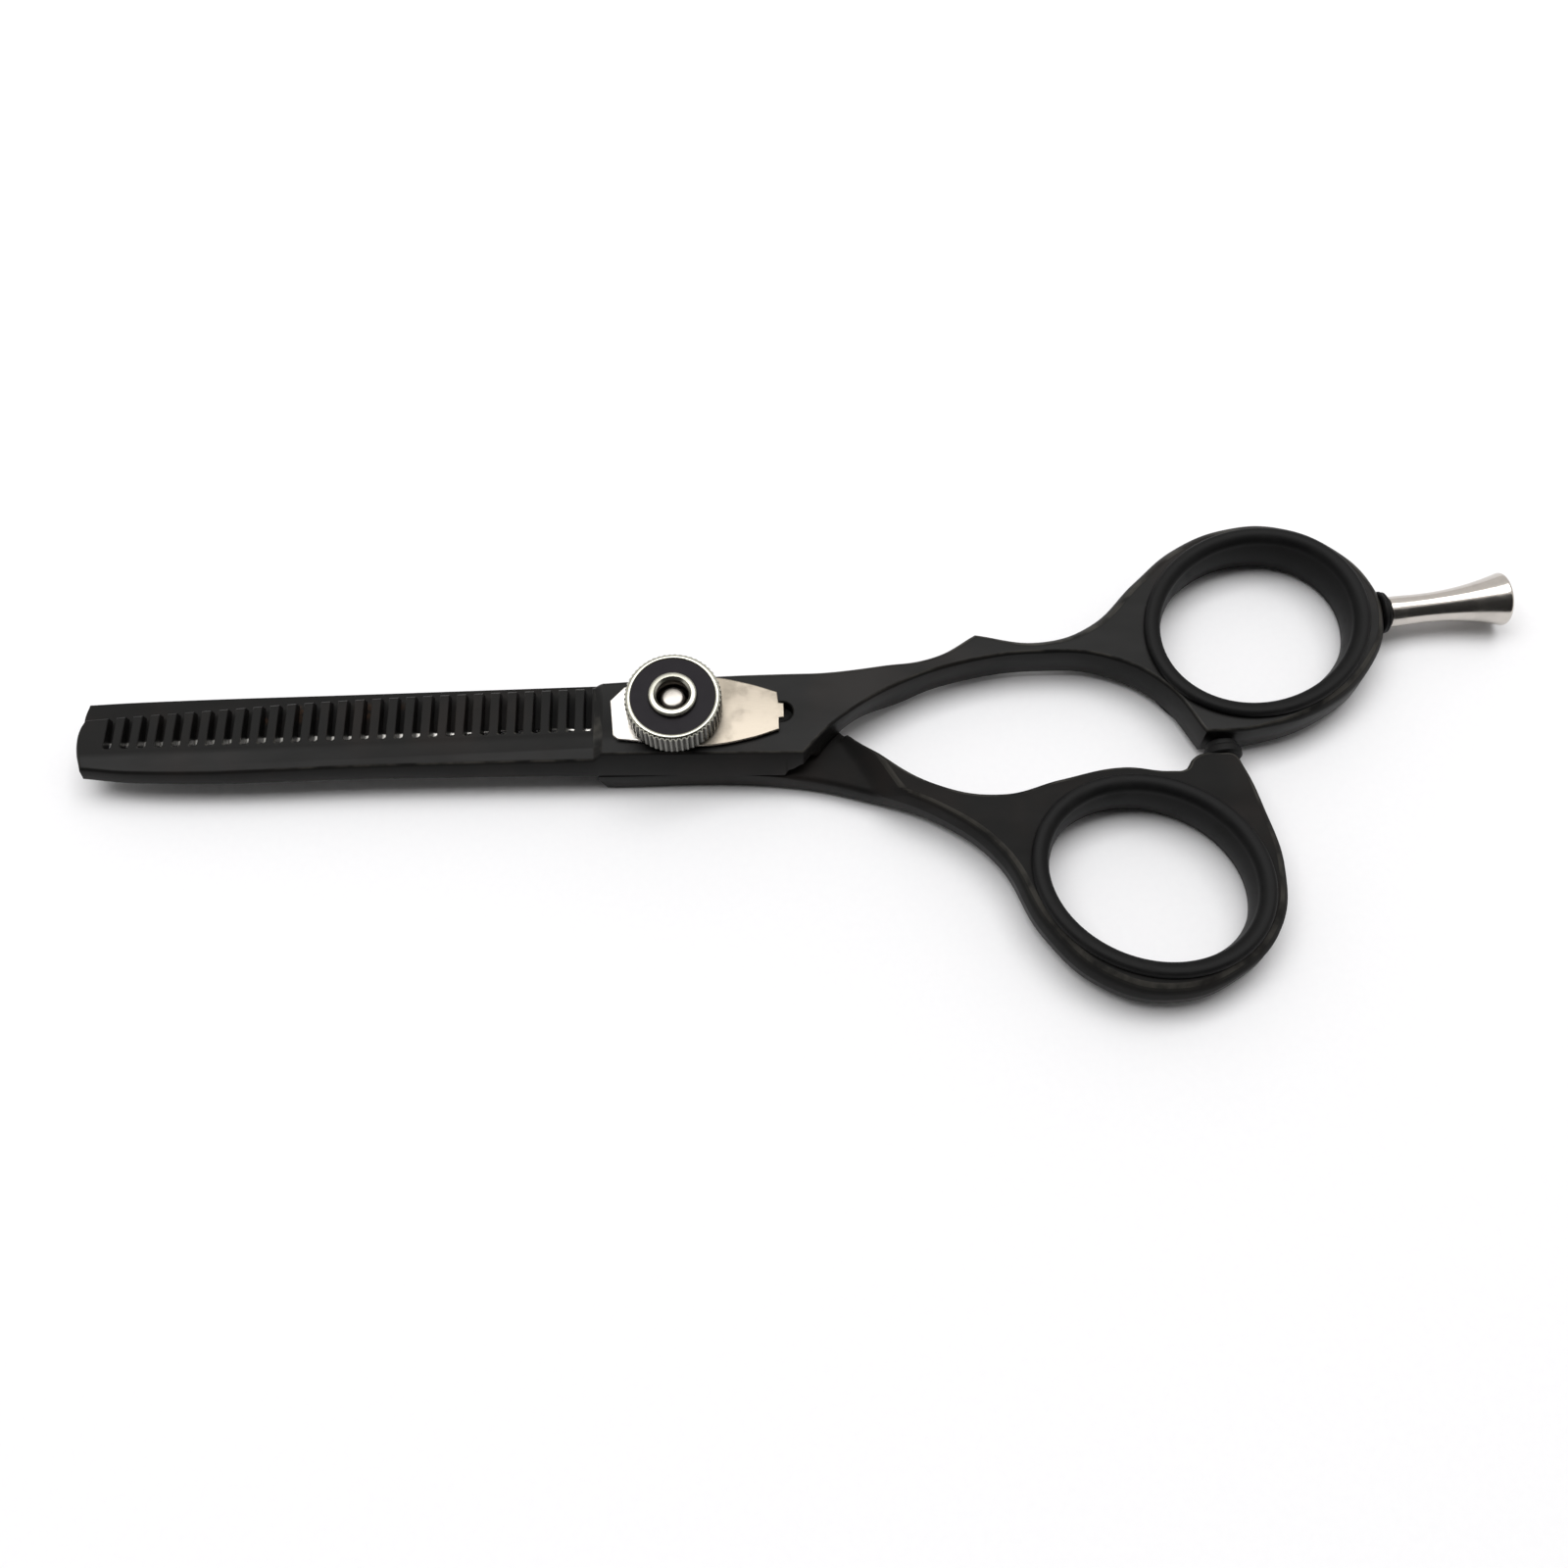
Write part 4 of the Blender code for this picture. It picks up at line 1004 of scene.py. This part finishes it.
# ---- ring inserts ----------------------------------------------------------------------------
def ring_insert(node, body, centre, hole, turn, material):
    """A ring with a rounded bead on each side, stretched to an oval of even wall."""
    base = 10.0
    lip = base + INSERT_LIP
    wall = base + INSERT_WALL
    neck_low = SHANK_LOW - FIT
    neck_high = SHANK_TOP + FIT
    bead = HEIGHT - neck_high - BEAD_LIFT
    inside = (INSERT_LIP - bead - LIP_FLAT, LIP_THROAT)
    profile = arc_points((base + inside[0], HEIGHT - LIP_THROAT), inside, 180, 90, 14)
    profile += arc_points((lip - bead, HEIGHT - bead), (bead, bead), 90, 0, 9)
    profile += [(lip, neck_high), (wall, neck_high), (wall, neck_low), (lip, neck_low)]
    profile += arc_points((lip - bead, bead), (bead, bead), 0, -90, 9)
    profile += arc_points((base + inside[0], LIP_THROAT), inside, -90, -180, 14)
    for z in steps_between(LIP_THROAT, HEIGHT - LIP_THROAT, 14)[1:-1]:
        share = math.cos(math.pi * (z - MID) / (HEIGHT - 2 * LIP_THROAT))
        profile.append((base - INSERT_CROWN * share, z))
    mesh = turned(profile, 144)
    for vertex in mesh.vertices:
        x, y, z = vertex.co / MM
        angle = math.atan2(y, x)
        reach = math.hypot(x, y) - base
        edge = Vector((hole[0] * math.cos(angle), hole[1] * math.sin(angle), z))
        normal = Vector((hole[1] * math.cos(angle), hole[0] * math.sin(angle), 0)).normalized()
        vertex.co = (edge + normal * reach) * MM
    place = Matrix.Translation(Vector((*centre, 0)) * MM)
    mesh.transform(place @ Matrix.Rotation(math.radians(turn), 4, "Z"))
    finished_piece(node, mesh, body, material)


# ---- pivot and tension dial ------------------------------------------------------------------
def pivot_screw(material):
    """The screw: a flat head below, a shaft with two flats, a thread and a low crown."""
    crown = ((0, 0), (0.6, 0.02), (0.95, 0.07), (1.12, 0.16), (1.22, 0.32), (SCREW_END_RADIUS, 0.5))
    profile = [(radius, SCREW_TOP - fall) for radius, fall in crown]
    profile += [(SCREW_END_RADIUS, SCREW_END_LOW)]
    for index in range(int((THREAD_END - PLATE_TOP) / THREAD_PITCH)):
        z = THREAD_END - index * THREAD_PITCH
        profile += [(THREAD_RADIUS, z - 0.05), (THREAD_RADIUS, z - 0.12),
                    (THREAD_RADIUS - 0.15, z - 0.27)]
    profile += [(THREAD_RADIUS, PLATE_TOP), (SHAFT_RADIUS, PLATE_TOP), (SHAFT_RADIUS, HEAD_HEIGHT),
                (HEAD_RADIUS - 0.1, HEAD_HEIGHT), (HEAD_RADIUS, HEAD_HEIGHT - 0.1)]
    profile += arc_points((HEAD_RADIUS - 0.22, 0.22), (0.22, 0.22), 0, -90, 5)
    profile += [(2.3, 0), (2.2, 0.1), (1.6, 0.1), (1.5, 0.0), (0, 0)]

    def flats(_, angle, radius, height):
        """Two flats lock the shaft in the comb half."""
        on_shaft = MID < height <= PLATE_TOP
        across = abs(radius * math.sin(angle))
        if on_shaft and radius > THREAD_RADIUS + 0.01 and across > FLAT_HALF:
            radius = FLAT_HALF / abs(math.sin(angle))
        return radius, height

    mesh = turned(profile, ROUND_STEPS, flats)
    finished_piece("pivot_screw", mesh, "held_half", material)


def click_plate(material):
    """The leaf spring under the dial."""
    mesh = rounded_plate(
        PLATE_OUTLINE,
        lambda x, y: 1,
        lambda x, y: 1,
        cross_cuts(*steps_between(-6, 11, 18)),
        lambda x, y: (PLATE_LOW, PLATE_TOP), lambda x, z: 1, 3, 0.06)
    mesh = cut(mesh, screw_hole(5, 9))
    finished_piece("click_plate", mesh, "held_half", material, 40)


def knurl(angle):
    """0 on a tooth's crest and 1 at the bottom of a groove."""
    phase = (angle * KNURL_COUNT / (2 * math.pi)) % 1.0
    return smoothstep(1 - abs(2 * phase - 1), 0.12, 0.95)


def tension_dial(material):
    """A flat rim with a smooth bevel, over a side of upright ribs."""
    inner = NUT_RADIUS + FIT
    outer = DIAL_RADIUS
    profile = [(DIAL_RIM, DIAL_TOP - 0.05), (DIAL_RIM + 0.05, DIAL_TOP),
               (outer - 0.36, DIAL_TOP), (outer - 0.26, DIAL_TOP - 0.05),
               (outer - 0.10, DIAL_TOP - 0.19), (outer - 0.02, DIAL_TOP - 0.33),
               (outer, DIAL_TOP - 0.42)]
    profile += [(outer, z) for z in steps_between(DIAL_TOP - 0.55, DIAL_LOW + 0.5, 6)]
    profile += [(outer, DIAL_LOW + 0.36), (outer - 0.08, DIAL_LOW + 0.2), (outer - 0.32, DIAL_LOW),
                (inner, DIAL_LOW), (inner, DIAL_FLOOR), (DIAL_RIM, DIAL_FLOOR)]
    grooved = [smoothstep(radius, outer - KNURL_RUNOUT, outer) for radius, _ in profile]

    def toothed(index, angle, radius, height):
        return radius - grooved[index] * KNURL_DEPTH * knurl(angle), height

    mesh = turned(profile, KNURL_COUNT * 8, toothed)
    finished_piece("tension_dial", mesh, "dial", material, 50)


def dial_nut(material):
    """The threaded nut in the dial's middle, standing proud of the inlay."""
    bore = THREAD_RADIUS + FIT
    profile = [(bore, NUT_TOP - 0.28), (bore + 0.26, NUT_TOP)]
    profile += arc_points((NUT_RADIUS - 0.25, NUT_TOP - 0.25), (0.25, 0.25), 90, 0, 6)
    profile += [(NUT_RADIUS, DIAL_LOW), (bore, DIAL_LOW)]
    for index in range(int((NUT_TOP - 0.5 - DIAL_LOW) / THREAD_PITCH)):
        z = DIAL_LOW + 0.1 + index * THREAD_PITCH
        profile += [(bore, z), (bore + 0.12, z + 0.17)]
    finished_piece("dial_nut", turned(profile, 80), "dial", material)


def dial_inlay(material):
    """The black disc, pressed in between the rim and the nut."""
    inner = NUT_RADIUS + INLAY_SEAM[0]
    outer = DIAL_RIM - INLAY_SEAM[1]
    seat = DIAL_FLOOR + FIT
    profile = [(inner, INLAY_TOP), (outer, INLAY_TOP), (outer, seat), (inner, seat)]
    finished_piece("dial_inlay", turned(profile), "dial", material)


# ---- bumper and finger rest --------------------------------------------------------------------
def bumper(material):
    """A stepped rubber button on a stem."""
    foot = GAP
    waist = 1.25
    top = BUMPER_TOP - SHOULDER_Y
    upper = BUMPER_RADIUS - 0.3
    profile = [(0, top), (upper - 0.6, top)]
    profile += arc_points((upper - 0.35, top - 0.35), (0.35, 0.35), 90, 0, 6)
    profile += [(upper, waist + 0.12), (upper + 0.06, waist + 0.03)]
    profile += arc_points((BUMPER_RADIUS - 0.22, waist - 0.22), (0.22, 0.22), 80, 0, 5)
    profile += [(BUMPER_RADIUS, foot + 0.15), (BUMPER_RADIUS - 0.15, foot), (STEM_RADIUS, foot),
                (STEM_RADIUS, -STEM_LENGTH), (0, -STEM_LENGTH)]
    mesh = lay_along_x(turned(profile, 64), (BUMPER_X, SHOULDER_Y, MID), 90)
    finished_piece("bumper", mesh, "thumb_half", material)


def finger_rest_collar(material):
    """Two rubber beads side by side, squeezed a little out of round."""
    bore = STUD_RADIUS + FIT
    bead = COLLAR_RADIUS - 0.36
    profile = [(bore, COLLAR_LENGTH), (bead - 0.2, COLLAR_LENGTH)]
    profile += arc_points((bead - 0.12, COLLAR_LENGTH - 0.22), (0.3, 0.22), 80, -30, 7)
    profile += [(bead + 0.1, COLLAR_LENGTH * 0.56)]
    profile += arc_points((bead, 0.34), (0.3, 0.23), 50, -70, 8)
    profile += [(bead - 0.1, 0.1), (bore, 0.1)]

    def squeezed(_, angle, radius, height):
        if radius <= bore + 0.01:
            return radius, height
        lump = noise.noise(Vector((math.cos(angle) * 1.5, math.sin(angle) * 1.5, height)))
        return radius + 0.07 * (lump - 0.35), height

    mesh = lay_along_x(turned(profile, 64, squeezed), (*REST_START, MID), REST_TURN)
    finished_piece("finger_rest_collar", mesh, "held_half", material)


def rest_radius(t):
    """The trumpet's radius, from a slight waist to the flared end."""
    if t < REST_WAIST:
        return mix(REST_ROOT_RADIUS, REST_WAIST_RADIUS, smoothstep(t, 0, REST_WAIST))
    return mix(REST_WAIST_RADIUS, REST_END_RADIUS, ((t - REST_WAIST) / (1 - REST_WAIST)) ** 2)


def finger_rest(material):
    """The trumpet, with a shallow cup in its end and a stud at its root."""
    root = COLLAR_LENGTH + FIT
    end = root + REST_LENGTH
    cup = 1.7
    cup_depth = 0.95
    lip = 0.32
    profile = [(cup * t, end - cup_depth + 0.85 * t ** 2.4) for t in steps_between(0, 1, 10)]
    profile += [(cup + 0.12, end - 0.02), (cup + 0.3, end)]
    profile += arc_points((REST_END_RADIUS - lip, end - lip), (lip, lip), 90, 10, 7)
    for t in steps_between(1, 0, 41):
        profile.append((rest_radius(t), mix(root + 0.1, end - 0.4, t)))
    profile += [(REST_ROOT_RADIUS - 0.1, root), (STUD_RADIUS, root), (STUD_RADIUS, -STUD_LENGTH),
                (0, -STUD_LENGTH)]
    mesh = lay_along_x(turned(profile, ROUND_STEPS), (*REST_START, MID), REST_TURN)
    finished_piece("finger_rest", mesh, "held_half", material)


# ---- floor, light and camera -----------------------------------------------------------------
def aim(obj, target):
    direction = Vector(target) - obj.location
    obj.rotation_mode = "QUATERNION"
    obj.rotation_quaternion = direction.to_track_quat("-Z", "Y")


def make_floor():
    bpy.ops.mesh.primitive_plane_add(size=FLOOR_SIZE, location=(0, 0, 0))
    floor = bpy.context.object
    floor.name = "floor"
    graph = Graph("paper_floor")
    fibres = graph.noise(0.8, 3.0, 0.6)
    tone = graph.blend(PAPER, PAPER_DARKER, fibres)
    graph.set(base_color=tone, roughness=0.9, specular=0.2)
    graph.bump(fibres, 0.03, 0.15)
    floor.data.materials.append(graph.material)


def make_flag():
    """A dark card in front of the set, out of the camera's sight, for the dark reflections."""
    bpy.ops.mesh.primitive_plane_add(size=1)
    flag = bpy.context.object
    flag.name = "dark_card"
    flag.scale = (*CARD_SIZE, 1)
    flag.location = CARD_PLACE
    aim(flag, (0, 0, 0))
    graph = Graph("dark_card")
    graph.set(base_color=CARD_BLACK, roughness=0.9)
    flag.data.materials.append(graph.material)
    flag.visible_camera = False


def make_key_light():
    light = bpy.data.lights.new("key", "AREA")
    light.shape = "RECTANGLE"
    light.size, light.size_y = KEY_SIZE
    light.energy = KEY_POWER
    obj = link(bpy.data.objects.new("key", light))
    obj.location = KEY_PLACE
    aim(obj, KEY_TARGET)


def make_world():
    world = bpy.data.worlds.new("studio")
    bpy.context.scene.world = world
    world.use_nodes = True
    background = world.node_tree.nodes["Background"]
    background.inputs["Color"].default_value = (*SKY_WARM, 1.0)
    background.inputs["Strength"].default_value = SKY_STRENGTH


def make_camera():
    data = bpy.data.cameras.new("camera")
    data.lens = CAMERA_LENS
    data.sensor_width = CAMERA_SENSOR
    data.clip_start = CAMERA_NEAR
    camera = link(bpy.data.objects.new("camera", data))
    camera.location = CAMERA_PLACE
    camera.rotation_euler = (math.radians(CAMERA_TILT), 0, math.radians(CAMERA_HEADING))
    bpy.context.scene.camera = camera


# ---- the whole ---------------------------------------------------------------------------------
rubber = rubber_material()

comb_half(comb_material())
straight_half(straight_material())
ring_insert("finger_ring_insert", "held_half", FINGER_CENTRE, FINGER_HOLE, FINGER_TURN, rubber)
ring_insert("thumb_ring_insert", "thumb_half", THUMB_CENTRE, THUMB_HOLE, THUMB_TURN, rubber)
pivot_screw(polished_material(
    "screw_steel", SCREW_STEEL, 0.34, (SHAFT_RADIUS, PLATE_TOP, SCREW_TOP - 0.35)))
click_plate(plate_material())
tension_dial(dial_material())
dial_nut(polished_material(
    "nut_steel", NUT_STEEL, 0.26, (THREAD_RADIUS + FIT + 0.14, DIAL_LOW, NUT_TOP - 0.3)))
dial_inlay(inlay_material())
bumper(rubber)
finger_rest_collar(rubber)
finger_rest(polished_material("rest_steel", REST_STEEL, 0.15))
for bush_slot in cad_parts["pivot_bush"].material_slots:
    bush_slot.material = nylon_material()

make_floor()
make_flag()
make_key_light()
make_world()
make_camera()
bpy.context.scene.view_settings.view_transform = "Standard"
